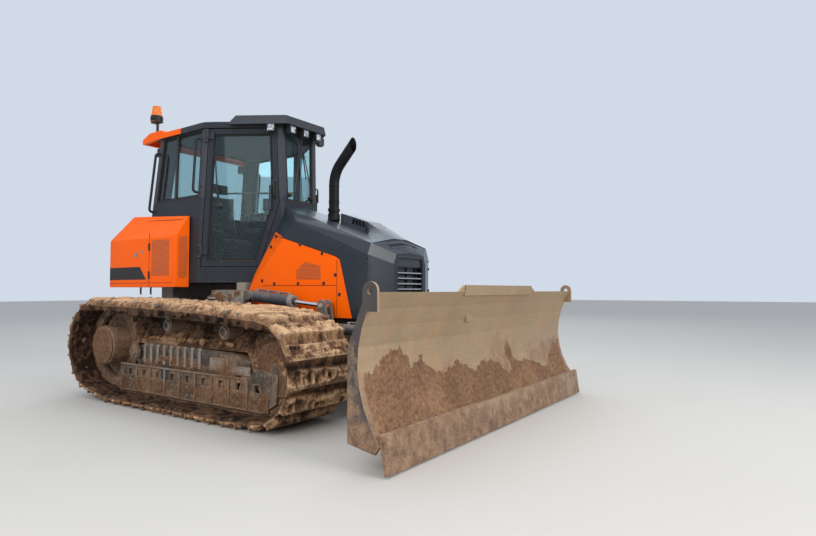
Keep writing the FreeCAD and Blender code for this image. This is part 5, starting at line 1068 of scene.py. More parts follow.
# Cab and glazing
def pane_faces():
    """Outline, axes, centre and body of each pane's outer face, from the flat solids of the glass nodes."""
    middle = np.array([-1.05, 0.0, 2.2])
    found = []
    for node, body in (("cab_windows", "root"), ("door_glass_right", "door_right"),
                       ("door_glass_left", "door_left")):
        for points in islands(node):
            centre = points.mean(0)
            normal = np.linalg.svd(points - centre)[2][2]
            normal = normal if (centre - middle) @ normal > 0 else -normal
            axes = axes_to(normal)[0]
            depth = (points - centre) @ normal
            flat = (points - centre) @ axes[:2].T
            front = flat[depth > depth.max() - 0.001]
            order = mathutils.geometry.convex_hull_2d([tuple(p) for p in front])
            found.append((tidy_outline(front[order]), axes, centre + normal * depth.max(), body))
    return found


def tidy_outline(outline):
    """Anticlockwise outline without corners that lie on a straight run or nearly on each other."""
    apart = np.linalg.norm(outline - np.roll(outline, 1, 0), axis=1) > 0.004
    outline = outline[apart]
    before, after = unit(outline - np.roll(outline, 1, 0)), unit(np.roll(outline, -1, 0) - outline)
    outline = outline[np.abs(before[:, 0] * after[:, 1] - before[:, 1] * after[:, 0]) > 0.01]
    x, y = outline.T
    area = (x * np.roll(y, -1) - np.roll(x, -1) * y).sum()
    return outline if area > 0 else outline[::-1]


def glazing_seals(width):
    """Rubber seals round every pane, by body: a lip on the frame and a thin black border on the glass."""
    by_body = {}
    for outline, axes, centre, body in pane_faces():
        rim = rounded(inset(outline, -0.004), 0.03, 5)
        patches = by_body.setdefault(body, [])
        patches.append(band(rim, axes, centre, width, -0.001, 0.0185 if body == "root" else 0.014, 0.004))
        patches.append(band(rounded(inset(outline, width - 0.006), 0.03, 5), axes, centre, 0.020, -0.0005,
                            0.0012, 0.0004))
    return by_body


def on_wall(first, second, rise):
    """Axes of a leaning wall from two points along its foot and one above, with its outward normal."""
    first, second, rise = at([first, second, rise])
    side = unit(second - first)
    normal = unit(np.cross(side, rise - first))
    return np.array([side, np.cross(normal, side), normal]), first


# Right door wall and right side of the cab's posts, as planes of layout millimetres
DOOR_WALL = ((736.0, -748.0, 1205.0), (1574.0, -225.9, 1205.0), (800.0, -700.0, 2932.0))
FRONT_WALL = ((1574.0, -225.9, 1205.0), (1574.0, 225.9, 1205.0), (1500.0, -263.9, 2932.0))
REAR_SIDE = ((-262.0, -748.0, 1205.0), (736.0, -748.0, 1205.0), (-20.0, -700.0, 2932.0))


def seam(corners, normal, width=0.005, proud=0.0012):
    """Thin dark joint line along straight runs on a flat place: one flat strip for each run."""
    corners, normal = at(corners), unit(normal)
    patches = []
    for a, b in zip(corners[:-1], corners[1:]):
        along = unit(b - a)
        axes = np.array([along, np.cross(normal, along), normal])
        outline = box_outline((np.linalg.norm(b - a) + width) / 2, width / 2)
        patches.append(plate(outline, axes, (a + b) / 2, -0.002, proud, 0.0004))
    return patches


def cab_trim():
    """Bolts, window bar and wiper of the cab by material, and a door's handle, wiper and inner bar."""
    door, foot = on_wall(*DOOR_WALL)
    front, front_foot = on_wall(*FRONT_WALL)
    side, side_foot = on_wall(*REAR_SIDE)

    def spot(wall, start, u, z, out=0.0):
        return start + wall[0] * u + wall[1] * (z - 1.205) / wall[1][2] + wall[2] * out

    def on_door(u, z, out=0.0):
        return spot(door, foot, u, z, out)

    def on_front(u, z, out=0.0):
        return spot(front, front_foot, u, z, out)

    bolt = [copies(hex_bolt(0.010, 0.008), [on_door(u, z)], door[None]) for u,
            z in ((0.11, 1.30), (0.42, 1.298), (0.63, 1.295))]
    for u in np.linspace(0.1, 0.9, 4):
        bolt.append(copies(dome_bolt(0.009, 0.005), [spot(side, side_foot, u, 2.895)], side[None]))
    for z in (1.72, 1.98, 2.24, 2.5):
        bolt.append(copies(dome_bolt(0.008, 0.005), [on_door(0.036, z)], door[None]))
    black = [tube([on_front(0.06, 2.16, 0.03), on_front(0.10, 2.20, 0.05), on_front(0.205, 2.66, 0.042)],
                  0.006, 8),
             tube([on_front(0.150, 2.36, 0.02), on_front(0.215, 2.80, 0.02)], 0.007, 6),
             lathe([(0.026, -0.03), (0.026, 0.02), (0.018, 0.034)], on_front(0.06, 2.155), front[2], 20)]
    divider = np.array([(0.545, 2.13), (0.580, 2.13), (0.580, 2.87), (0.545, 2.87)])
    divider[:, 1] = (divider[:, 1] - 1.205) / side[1][2]
    black.append(plate(divider, side, side_foot, -0.022, 0.004, 0.002))
    handle = [tube([on_door(0.245, 2.035, 0.016), on_door(0.248, 2.12, 0.026), on_door(0.215, 2.30, 0.018)],
                   0.006, 8),
              tube([on_door(0.228, 2.10, 0.006), on_door(0.196, 2.52, 0.006)], 0.0075, 6),
              lathe([(0.028, -0.03), (0.028, 0.012), (0.018, 0.024)], on_door(0.245, 2.03), door[2], 20),
              tube([on_door(0.20, 2.17, -0.052), on_door(0.80, 2.17, -0.052)], 0.010, 10)]
    for u, z in ((0.20, 2.17), (0.80, 2.17)):
        handle.append(tube([on_door(u, z, -0.056), on_door(u, z, -0.020)], 0.008, 8))
    grip = rounded(box_outline(0.024, 0.105), 0.018)
    handle.append(plate(grip, door, on_door(0.848, 2.21), -0.001, 0.016, 0.005))
    pull = rounded_path([on_door(0.848, 2.13, 0.010), on_door(0.848, 2.13, 0.045),
                         on_door(0.842, 2.29, 0.045), on_door(0.842, 2.29, 0.010)], 0.022)
    handle.append(tube(pull, 0.010, 10))
    return {"Black plastic": pair(black), "Trim bolt": pair(bolt)}, handle


def roof_trim():
    """Bolts, lifting eyes and rain gutter of the roof, by material."""
    bolts = [bolts_on([(x, y, 2932) for x in (60, 330, 620, 900) for y in (-640, 640)], (0, 0, 1), 0.014,
                      0.012)]
    eyes = []
    for x, y in ((120, -560), (120, 560), (860, -560), (860, 560)):
        spot = at((x, y, 2932))
        t = np.linspace(-0.15, np.pi + 0.15, 12)
        ring = spot + np.stack([0.026 * np.cos(t), 0 * t, 0.008 + 0.026 * np.sin(t)], 1)
        eyes.append(tube(ring, 0.007, 8))
        eyes.append(plate(rounded(box_outline(0.045, 0.022), 0.008, 3), np.eye(3), spot, -0.002, 0.008))
    gutter = rounded_path(at([(-40, -705, 2934), (795, -712, 2934), (1440, -300, 2934), (1440, 300, 2934),
                              (795, 712, 2934), (-40, 705, 2934)]), 0.05)
    return {"Trim bolt": bolts, "Black plastic": eyes + [tube(gutter, 0.009, 8)]}


def lamp_faces():
    """Bezel, crowned lens and cooling ribs on each work lamp."""
    bezels, lenses = [], []
    for points in islands("work_lamps"):
        centre = points.mean(0)
        low, high = points.min(0), points.max(0)
        if centre[0] < -1.0:
            normal, face = np.array([-1.0, 0, 0]), np.array([low[0], centre[1], (low[2] + high[2]) / 2])
        else:
            turn = 0.0 if np.ptp(points[:, 0]) < 0.06 else np.sign(centre[1]) * math.radians(58.0)
            normal = np.array([math.cos(turn), math.sin(turn), 0.0])
            middle = (low + high) / 2
            face = middle + normal * ((points - middle) @ normal).max()
        axes = axes_to(normal)[0]
        w, h = (0.053, 0.048) if centre[0] < -1.0 else (0.042, 0.041)
        rim = rounded(box_outline(w, h), 0.012, 4)
        bezels.append(band(rim, axes, face, 0.007, -0.002, 0.007, 0.002))
        lenses.append(crowned_lens(face, axes, (w - 0.006, h - 0.006), 0.005, 0.004, (13, 13)))
        for k in np.linspace(-0.7, 0.7, 5):
            spot = face - axes[2] * 0.045 + axes[1] * k * h
            bezels.append(block_on(spot, axes, (w + 0.003, 0.0022, 0.030)))
    return bezels, lenses


# Engine enclosure and rear body
PANEL_BOLTS = ((2041, 1571), (2335, 1473), (2503, 1267), (2555, 1085), (1700, 1668), (1625, 1566),
               (1497, 1221),
               (1680, 1190), (2017, 1190), (2358, 1190))


def nose_top(x, y):
    """Point on the sloping top of the nose, which falls from its ridge to a crease on either side."""
    share = (x - 2890.0) / 119.0
    ridge, crease = 1608.0 - 128.0 * share, 1552.0 - 94.0 * share
    return at(np.stack([x, y, ridge - (ridge - crease) * np.abs(y) / (452.0 - 224.0 * share)], -1))


def nose_slot():
    """Dark slot across the nose, and its raised rim: strips carried along y over the ridge."""
    y = np.linspace(-222.0, 222.0, 41)
    patches = []
    for x0, x1, low, high in ((2917.0, 2947.0, -4.0, 1.5), (2909.0, 2918.0, -4.0, 4.0),
                              (2946.0, 2955.0, -4.0, 4.0)):
        rings = [nose_top(np.full(41, x), y) + [0, 0, up / 1000] for x,
                 up in ((x0, low), (x1, low), (x1, high), (x0, high))]
        patches.append(skin(np.stack(rings, 1)))
    return patches


def hood_trim():
    """Bolts, joint lines, the slot above the grille and the grille's frame, by material."""
    bolts = [bolts_on([(x, -500, z) for x, z in PANEL_BOLTS], SIDE, 0.0125, 0.008)]
    bolts.append(bolts_on([(x, -500, z) for x,
                           z in ((2450, 1520), (2574, 1528), (2879, 1420), (2884, 1340), (2884, 1120))],
                           SIDE, 0.012, 0.008))
    seams = seam([(1513, -500, 1169), (2515, -500, 1169)], SIDE,
                 0.005) + seam([(2524, -500, 1405), (2524, -500, 880)], SIDE, 0.005)
    seams += seam([(1380, -500, 1772), (2500, -500, 1444), (2560, -500, 1412), (2712, -500, 872)], SIDE,
                  0.006)
    crease = [(1850, -297, 1908), (2000, -325, 1860), (2880, -453.5, 1548)]
    for first, last, foot in ((crease[0], crease[1], (2000, -500, 1806)),
                              (crease[1], crease[2], (2890, -500, 1446))):
        a, b, c = np.array([first, last, foot], float)
        seams += seam([first, last], np.cross(b - a, a - c) * np.sign(np.cross(b - a, a - c)[2]), 0.014,
                      0.003)
    slot, *rim = nose_slot()
    front = axes_to((1, 0, 0))[0]
    frame = rounded(np.array([(-224, -232), (224, -232), (224, 150), (206, 212), (-206, 212), (-224, 150)])
                    / 1000, 0.014, 4)
    grey = rim + [band(frame, front, at((3009, 0, 1228)), 0.017, -0.012, 0.005, 0.003)]
    grey.append(plate(rounded(box_outline(0.196, 0.036), 0.006, 3), front, at((2993, 0, 1385)), -0.002,
                      0.004))
    dark = [slot]
    for y in (-137, 0, 137):
        dark.append(block_on(at((2962, y, 1180)), front, (0.005, 0.155, 0.006)))
    slats = []
    for k in range(1, 7):
        slats.append(plate(box_outline(0.203, 0.0055), front, at((2998, 0, 1338 - 51 * k)), -0.003, 0.004,
                           0.0015))
    return {"Trim bolt": pair(bolts), "Seam shadow": pair(seams) + dark, "Grey body paint": grey,
            "Slat metal": slats}


def hood_top_at(x, y):
    """Height of the hood between its ridge and its crease, in millimetres."""
    ridge, crease, half = 1896 - 0.3236 * (x - 2000), 1868 - 0.3551 * (x - 2000), 320 + 0.1483 * (x - 2000)
    return ridge - (ridge - crease) * np.abs(y) / half


def hood_cowl():
    """Raised sheet from the scoop's vents to the nose, straight down from its middle to each edge."""
    x = np.linspace(2557.0, 2893.0, 25)[:, None]
    share = (x - 2557) / 336
    middle, edge = 1804 - 190 * share, 132 + 306 * share
    t = np.linspace(0, 1, 8)[None]
    y = np.concatenate([-(110 + (edge - 110) * t[:, ::-1]), 0 * x, 110 + (edge - 110) * t], 1)
    slope = middle + (hood_top_at(x, edge) + 2 - middle) * t
    top = np.stack([x + 0 * y, y, np.concatenate([slope[:, ::-1], middle, slope], 1)], -1)
    under = np.stack([x + 0 * y, y, hood_top_at(x, y) - 14], -1)
    return skin(at(np.concatenate([top, under[:, ::-1]], 1))[:, ::-1])


def exhaust_trim():
    """Two bolted clamps and four raised bands round the exhaust."""
    patches = []
    for z in (1893.0, 1945.0):
        ring = [(0.0525, -0.010), (0.0605, -0.008), (0.0615, 0.0), (0.0605, 0.008), (0.0525, 0.010)]
        patches.append(lathe(ring, at((2150, -130, z)), (0, 0, 1), 40))
        patches.append(block_on(at((2150, -196, z)), np.eye(3), (0.012, 0.012, 0.009), 0.002))
        patches.append(bolts_on([(2150, -206, z)], SIDE, 0.008, 0.006))
    bands = [(0.0520, -0.004), (0.0555, -0.002), (0.0555, 0.002), (0.0520, 0.004)]
    patches += [lathe(bands, at((2150, -130, z)), (0, 0, 1), 40) for z in (2010.0, 2024.0, 2038.0, 2190.0)]
    return patches


def vent_mesh():
    """Wire screens over the openings of the side panels, the rear body's sides and its front faces."""
    screens = []
    for corners, y in ((((1993, 1228), (2320, 1225), (2314, 1356), (2112, 1400), (1993, 1322)), -499.5),
                       (((176, 1280), (504, 1280), (504, 1676), (176, 1676)), -919.5)):
        flat = rounded(np.array(corners) / 1000 - [MIDDLE, 0], 0.010, 3)
        screens.append(plate(flat, SIDE_AXES, (0, y / 1000, 0), -0.003, 0.0018, 0.0012))
    face = rounded(np.array([(785, 1262), (885, 1262), (885, 1690), (785, 1716)]) / 1000, 0.010, 3)
    screens.append(plate(face * [-1, 1], np.array([[0, 1.0, 0], [0, 0, 1.0], [1.0, 0, 0]]),
                         (at((622, 0, 0))[0], 0, 0), -0.003, 0.0018, 0.0012))
    return pair(screens)


def rear_trim():
    """Joint lines, lock, latch, hinges, bare label band, hooks, tail lamps and bolts, by material."""
    y = -920
    seams = seam([(127, y, 1752), (127, y, 1162)], SIDE,
                 0.006) + seam([(-690, y, 1204), (570, y, 1204)], SIDE, 0.004)
    seams += seam([(-430, -801, 1930), (560, -801, 1892)], (0, -0.87, 0.5), 0.005)
    chrome = [lathe([(0.020, -0.002), (0.020, 0.004), (0.014, 0.007), (0.010, 0.005)], at((-15, y, 1552)),
                    SIDE, 20)]
    latch = rounded(box_outline(0.026, 0.026), 0.008, 4)
    chrome.append(plate(latch, SIDE_AXES, at((-136, y, 1522)), -0.002, 0.006, 0.002))
    chrome.append(block_on(at((-136, y - 9, 1522)), SIDE_AXES, (0.006, 0.018, 0.004), 0.002))
    band_outline = np.array([(-690, 1242), (72, 1242), (-54, 1386), (-690, 1386)]) / 1000
    label = [plate(band_outline, SIDE_AXES, at((0, y, 0)), -0.001, 0.0012, 0.0005)]
    black = []
    for z in (1290, 1600):
        black.append(lathe([(0.011, -0.04), (0.011, 0.04), (0.008, 0.044)], at((133, y - 6, z)), (0, 0, 1),
                           14))
    for x in (-163, 39):
        black.append(tube(at([(x, -840, 1162), (x, -842, 1095), (x + 14, -846, 1080)]), 0.010, 8))
    tail = []
    rear = axes_to((-1, 0, 0))[0]
    for z in (1560, 1450):
        face = at((-692, -760, z))
        black.append(band(rounded(box_outline(0.058, 0.042), 0.014, 4), rear, face, 0.009, -0.004, 0.008,
                          0.003))
        tail.append(crowned_lens(face, rear, (0.050, 0.034), 0.006, 0.006, (15, 11)))
    bolts = [bolts_on([(-692, across, z) for across in (-600, -860) for z in (1200, 1690)], (-1, 0, 0),
                      0.012, 0.009)]
    return {"Seam shadow": pair(seams), "Zinc fitting": pair(chrome), "Label band": pair(label),
            "Black plastic": pair(black), "Tail lens": pair(tail), "Trim bolt": pair(bolts)}


def rear_mesh():
    """Wire mesh behind the rear bars: round wires crossing on a square pitch."""
    wires = []
    for y in np.arange(-520, 521, 26.0):
        wires.append(tube(at([(-664, y, 1262), (-664, y, 1648)]), 0.0018, 5))
    for z in np.arange(1272, 1645, 26.0):
        wires.append(tube(at([(-667, -540, z), (-667, 540, z)]), 0.0018, 5))
    return wires


# Blade and its linkage
def blade_trim():
    """Bolts of the cutting edge, and sloping gussets at both ends of the raised middle."""
    slope = [plate(np.array([(side * 638, 1110), (side * 742, 1110), (side * 638, 1164)][::side]) / 1000,
                   np.array([(0, 1.0, 0), (0, 0, 1.0), (1.0, 0, 0)]), (at((3940, 0, 0))[0], 0, 0), 0.0,
                   0.020, 0.002) for side in (-1, 1)]
    places = [(4027, y, 95) for y in np.linspace(-1690, 1690, 23)]
    return {"Worn blade steel": slope + [bolts_on(places, (0.92, 0, 0.38), 0.015, 0.006, dome_bolt)]}


BLADE_ARC = ((3960.0, 1113.0), (3820.0, 564.0), (3990.0, 187.0))      # x and z of its top, middle and foot


def blade_face(z):
    """Front of the blade at each height: nine points of the circle through BLADE_ARC, joined up."""
    (ax, az), (bx, bz), (cx, cz) = BLADE_ARC
    d = 2 * (ax * (bz - cz) + bx * (cz - az) + cx * (az - bz))
    a, b, c = ax ** 2 + az ** 2, bx ** 2 + bz ** 2, cx ** 2 + cz ** 2
    ux, uz = (a * (bz - cz) + b * (cz - az) + c
              * (az - bz)) / d, (a * (cx - bx) + b * (ax - cx) + c * (bx - ax)) / d
    turn = np.linspace(math.atan2(az - uz, ax - ux) % (2 * math.pi),
                       math.atan2(cz - uz, cx - ux) % (2 * math.pi), 9)
    radius = math.hypot(ax - ux, az - uz)
    x, height = ux + radius * np.cos(turn), uz + radius * np.sin(turn)
    return np.interp(z, height[::-1], x[::-1])


def clinging_soil():
    """Thin soil on the blade's lower face, up to a ragged limit; beyond it the sheet is 2 mm sunk."""
    y, z = np.meshgrid(np.linspace(-1700, 1700, 420), np.linspace(212, 900, 80), indexing="ij")
    flat = at(np.stack([blade_face(z), y, z], -1))
    limit = 0.75 - (z - 212) / 400 + 0.75 * noise(flat, 0.8, 90)
    limit = limit + 0.34 * rough(flat, 0.3, 3, 91) + 0.12 * clods(flat, 0.09, 92)
    limit = np.minimum(limit, np.minimum((1700 - np.abs(y)) / 60, (z - 212) / 10 + 0.05))
    out = np.where(limit > 0, np.clip(limit * 2, 0, 1)
                   * (0.006 + 0.006 * rough(flat, 0.06, 3, 94)).clip(0.0008, 0.02),
                   np.maximum(limit, -0.002))
    slope = np.gradient(blade_face(z[0]), z[0])[None]
    normal = unit(np.stack([np.ones_like(y), 0 * y, -slope + 0 * y], -1))
    face = flat + out[..., None] * normal
    back = flat - 0.006 * normal
    return skin(np.concatenate([face, back[:, ::-1]], 1))


def blade_dirt():
    """Dirt that clings to the blade's face and to the ledges behind it."""
    return [clinging_soil(),
            crust((3760, -1720, 318), (0, 3440, 0), (55, 0, 0), (200, 6), 0.030, 93, 0.05),
            crust((3760, -1720, 758), (0, 3440, 0), (50, 0, 0), (200, 6), 0.022, 95, 0.05)]


def ring_on(axis, spot, radius, width, proud):
    """Raised ring round a bar: a rounded strip turned about it."""
    half = width / 2
    strip = [(radius - 0.002, -half), (radius + proud * 0.7, -half), (radius + proud, -half * 0.6),
             (radius + proud, half * 0.6),
             (radius + proud * 0.7, half), (radius - 0.002, half)]
    return lathe(strip, spot, axis, 36)


# Foot, eye and barrel length of each kind of cylinder in millimetres, barrel and rod radius in metres
CYLINDERS = {
    "lift": ((1452.0, -600.0, 1072.0), (2464.0, -600.0, 981.0), 620.0, 0.055, 0.022),
    "angle": ((2660.0, -605.0, 772.0), (3602.0, -560.0, 772.0), 610.0, 0.048, 0.024),
    "tilt": ((3701.0, 380.0, 905.0), (3701.0, -400.0, 960.0), 470.0, 0.046, 0.023),
}


def cylinder_trim(kind):
    """Gland bolts, rings, ports and pipe of a cylinder's barrel, and the wiper ring at its mouth."""
    base, eye, length, radius, rod = CYLINDERS[kind]
    base, eye = at(base), at(eye)
    along = unit(eye - base)
    up = unit(np.cross(along, np.cross([0, 0, 1.0], along)))
    out = np.cross(along, up)
    mouth = base + along * length / 1000
    steel = [ring_on(along, base + along * 0.075, radius, 0.016, 0.004),
             ring_on(along, mouth - along * 0.052, radius, 0.010, 0.003)]
    turn = 2 * np.pi * (np.arange(8) + 0.5) / 8
    spots = mouth + 0.82 * radius * (np.cos(turn)[:, None] * up + np.sin(turn)[:, None] * out)
    steel.append(copies(hex_bolt(0.006, 0.006), spots, np.broadcast_to(axes_to(along)[0], (8, 3, 3))))
    lip = [(rod + 0.0012, -0.004), (rod + 0.009, -0.004), (rod + 0.009, 0.006), (rod + 0.0012, 0.008)]
    rubber = [grid_ring(lip, mouth, along)]
    start, end = base + along * 0.10, mouth - along * 0.075
    ride = up * (radius + 0.014)
    pipe = rounded_path([start + up * (radius - 0.004), start + ride, end + ride,
                         end + up * (radius - 0.004)], 0.02)
    steel.append(tube(pipe, 0.0085, 10))
    for share in (0.35, 0.7):
        spot = start + (end - start) * share + up * (radius + 0.006)
        steel.append(block_on(spot, np.array([along, out, up]), (0.010, 0.016, 0.010), 0.003))
    for port in (start, end):
        steel.append(lathe([(0.016, -0.01), (0.016, 0.018), (0.012, 0.022)], port + up * radius, up, 16))
    return steel, rubber


def frame_trim():
    """Keeper bolts of the pins on the lift towers, and of the arms' pins on the frame's shaft."""
    return pair([bolts_on([(2464, -656, 981)], SIDE, 0.018,
                          0.012)]), pair([bolts_on([(1620, -658, 600)], SIDE, 0.020, 0.014)])


def root_pipes():
    """Steel pipes from the main frame to the lift cylinders, under the cab."""
    pipes = []
    for drop in (0.0, 34.0):
        run = at([(980, -690, 1040 - drop), (860, -690, 1040 - drop), (780, -600, 1060 - drop),
                  (640, -430, 1060 - drop), (640, -300, 1060 - drop)])
        pipes.append(tube(rounded_path(run, 0.05), 0.011, 10))
    return pair(pipes)


# Inside the cab
def pad_form(centre, axes, half, channels):
    """Crowned pad: faces t ((1 - |u|^6)(1 - |v|^6))^0.4 off its middle, less in the channels."""
    centre, w, h, t = at(centre), half[0] / 1000, half[1] / 1000, half[2] / 1000
    u, v = np.meshgrid(np.linspace(-1, 1, 49), np.linspace(-1, 1, 49), indexing="ij")
    fall = ((1 - np.abs(u) ** 6) * (1 - np.abs(v) ** 6)) ** 0.4
    groove = sum(np.exp(-((v - spot) / 0.03) ** 2) for spot in channels) if channels else 0.0 * u
    across, along = u * w * (1 - 0.05 * (1 - v ** 2)), v * h * (1 - 0.04 * (1 - u ** 2))
    side = centre + across[..., None] * axes[0] + along[..., None] * axes[1]
    front = side + (t * fall * (1 - 0.22 * groove))[..., None] * axes[2]
    back = side - (t * fall * 0.85)[..., None] * axes[2]
    return grid(np.concatenate([front, back[:, ::-1]], 1), wrap_v=True)


def inflate(made, voxel, cap):
    """Swells a pad as cloth under pressure, with each point held within a cap of where it began."""
    scene = bpy.context.scene
    remesh = made.modifiers.new("Even mesh", "REMESH")
    remesh.mode, remesh.voxel_size = "VOXEL", voxel
    made.data = bpy.data.meshes.new_from_object(made.evaluated_get(bpy.context.evaluated_depsgraph_get()))
    made.modifiers.clear()
    start = np.empty(len(made.data.vertices) * 3)
    made.data.vertices.foreach_get("co", start)
    cloth = made.modifiers.new("Cloth", "CLOTH")
    cloth.settings.use_pressure = True
    cloth.settings.uniform_pressure_force = 4.0
    cloth.settings.effector_weights.gravity = 0.0
    cloth.point_cache.frame_start, cloth.point_cache.frame_end = 1, 20
    for step in range(1, 21):
        scene.frame_set(step)
    swollen = bpy.data.meshes.new_from_object(made.evaluated_get(bpy.context.evaluated_depsgraph_get()))
    end = np.empty(len(swollen.vertices) * 3)
    swollen.vertices.foreach_get("co", end)
    move = (end - start).reshape(-1, 3)
    far = np.linalg.norm(move, axis=1, keepdims=True)
    move = move * np.minimum(1.0, cap / np.maximum(far, 1e-9))
    made.modifiers.clear()
    made.data.vertices.foreach_set("co", start + move.ravel())
    made.data.update()
    scene.frame_set(1)


def make_pad(name, centre, axes, half, channels, replaces=()):
    made = piece(name, [pad_form(centre, np.asarray(axes, float), half, channels)], "Woven cloth", angle=80)
    if replaces:
        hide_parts(*replaces)
    shape = bmesh.new()
    shape.from_mesh(made.data)
    bmesh.ops.remove_doubles(shape, verts=shape.verts, dist=0.0005)
    shape.to_mesh(made.data)
    shape.free()
    inflate(made, 0.008, 0.022)
    made.data.shade_smooth()
    smooth = made.modifiers.new("Smooth", "SUBSURF")
    smooth.levels = smooth.render_levels = 1


SEAT_LEAN = np.array([-0.110, 0.0, 0.994])


def cab_inside():
    """Roof lining, ribbed mat, display's face and rim, arm rests' bases, levers' boots, by material."""
    lining, black, screen = [], [], []
    inner_low = np.array([(-215, -700), (718, -700), (1510, -208), (1510, 208), (718, 700), (-215, 700)],
                         float)
    inner_high = np.array([(20, -650), (782, -650), (1452, -236), (1452, 236), (782, 650), (20, 650)],
                          float)
    lining.append(plate(inset(inner_high, 6) / 1000 - [MIDDLE, 0], np.eye(3), (0, 0, 2.869), -0.016, 0.0025,
                        0.006))
    black.append(plate(inset(inner_low, 30) / 1000 - [MIDDLE, 0], np.eye(3), (0, 0, 1.245), -0.002, 0.006,
                       0.002))
    for k in np.arange(-9, 10):
        black.append(block((880, k * 18 - 3, 1249), (1300, k * 18 + 3, 1254), 0.001))
    face = at((1215, -150, 2060))
    back = axes_to((-1, 0, 0))[0]
    screen.append(plate(rounded(box_outline(0.092, 0.062), 0.008, 4), back, face, -0.002, 0.0015))
    black.append(band(rounded(box_outline(0.100, 0.070), 0.012, 4), back, face, 0.010, -0.02, 0.005))
    for side in (-1, 1):
        base = at((380, side * 365, 1830))
        black.append(block_on(base + [0.0, 0, 0.012], np.eye(3), (0.13, 0.045, 0.022), 0.008))
        for z in (1846, 1868, 1890):
            boot = at((573 + (z - 1800) * 0.19, side * 365, z))
            black.append(grid_ring([(0.018, -0.012), (0.034, -0.004), (0.034, 0.003), (0.018, 0.011)], boot,
                                   (0.19, 0, 1), 20))
    return {"Cab lining": lining, "Black plastic": black, "Screen glass": screen}


# User settings
class DozerColours(bpy.types.PropertyGroup):
    orange: bpy.props.FloatVectorProperty(name="Orange paint",
                                          description="Colour of the rear body, side panels and visor",
                                          default=rgb("ff6600")[:3], size=3, subtype="COLOR", min=0.0,
                                          max=1.0)
    grey: bpy.props.FloatVectorProperty(name="Grey paint", description="Colour of the hood and the nose",
                                        default=rgb("20272f")[:3], size=3, subtype="COLOR", min=0.0,
                                        max=1.0)
    cab: bpy.props.FloatVectorProperty(name="Cab paint", description="Colour of the cab and its doors",
                                       default=rgb("2b2f36")[:3], size=3, subtype="COLOR", min=0.0, max=1.0)
    floor: bpy.props.FloatVectorProperty(name="Floor", description="Colour of the studio floor",
                                         default=rgb("c4c0b9")[:3], size=3, subtype="COLOR", min=0.0,
                                         max=1.0)


class DozerSizes(bpy.types.PropertyGroup):
    seal_width: bpy.props.FloatProperty(name="Window seal",
                                        description="Width of the rubber round each pane",
                                        default=0.024, min=0.01, max=0.05, unit="LENGTH")
    edge_radius: bpy.props.FloatProperty(name="Panel edge",
                                         description="How far the edges of the panels are rounded",
                                         default=0.004, min=0.0, max=0.02, unit="LENGTH")
    lens: bpy.props.FloatProperty(name="Lens", description="Focal length of the camera on a 36 mm sensor",
                                  default=25.395, min=10.0, max=100.0, unit="CAMERA")
    key_light: bpy.props.FloatProperty(name="Key light",
                                       description="Power of the large light over the machine's right side",
                                       default=560.0, min=0.0, max=5000.0, unit="POWER")
    sky: bpy.props.FloatProperty(name="Sky", description="Strength of the even light from all round",
                                 default=0.80, min=0.0, max=4.0, subtype="FACTOR")


NODE_FINISH = {
    "Orange paint": "side_panel_right side_panel_left rear_body roof_visor",
    "Grey body paint": "hood_top hood_side_right hood_side_left nose_grille",
    "Cab paint": "cab_lower cab_posts cab_roof door_right door_left cab_hinges",
    "Chassis paint": "main_frame frame_shafts",
    "Frame paint": "cab_mounts lift_mounts lift_frame blade_carrier",
    "Cylinder paint": "lift_barrel_right lift_barrel_left angle_barrel_right angle_barrel_left tilt_barrel",
    "Muddy steel": "track_frame_right track_frame_left",
    "Track steel": "track_right track_left sprockets idlers track_rollers",
    "Worn blade steel": "blade cutting_edge",
    "Rod chrome": "lift_rod_right lift_rod_left angle_rod_right angle_rod_left tilt_rod",
    "Exhaust steel": "exhaust",
    "Black paint": "rear_grille grab_rails",
    "Seam shadow": "radiator engine_block",
    "Window glass": "cab_windows door_glass_right door_glass_left",
    "Black plastic": "work_lamps cooling_fan controls seat_base",
    "Amber lens": "beacon",
}
ROUNDED_NODES = ("side_panel_right side_panel_left rear_body roof_visor hood_top hood_side_right "
                 "hood_side_left nose_grille cab_lower cab_roof door_right door_left lift_frame "
                 "blade_carrier lift_mounts cab_mounts track_frame_right track_frame_left blade").split()


def add_pieces(prefix, by_material, body="root"):
    """One object for each material of a group of patches."""
    for material, patches in by_material.items():
        piece(prefix + "_" + material.lower().replace(" ", "_"), patches, material, body)


class DozerStep:
    """What every step of the dresser shares."""
    bl_options = {"REGISTER", "UNDO"}


# Lamps of the studio: place, aim, width, share of the key light's power and tint
LIGHTS = {
    "key": ((4.0, -9.5, 6.0), (0, 0, 1.2), 6.0, 1.0, (1.0, 0.97, 0.93)),
    "front": ((11.0, -1.0, 5.0), (0, 0, 1.2), 5.0, 1.05, (1.0, 0.98, 0.95)),
    "top": ((-1.0, 1.0, 9.5), (0, 0, 1.0), 9.0, 0.52, (0.95, 0.98, 1.0)),
    "sheen": ((-8.0, 12.5, 11.0), (1, 0, 1.5), 12.0, 0.9, (0.80, 0.90, 1.0)),
}
SKY_COLOUR = (0.80, 0.88, 1.0, 1.0)
CAMERA_PLACE = (4.448, -4.520, 1.126)           # solved from the photograph
CAMERA_AIM = (-0.5697, 0.8211, 0.0382)
FLOOR_HALF, FLOOR_LEVEL = 60.0, -0.0005         # the floor lies just under the shoes


def looking(direction):
    """Rotation of a lamp or camera that faces in a direction."""
    return mathutils.Vector(direction).to_track_quat("-Z", "Y").to_euler()


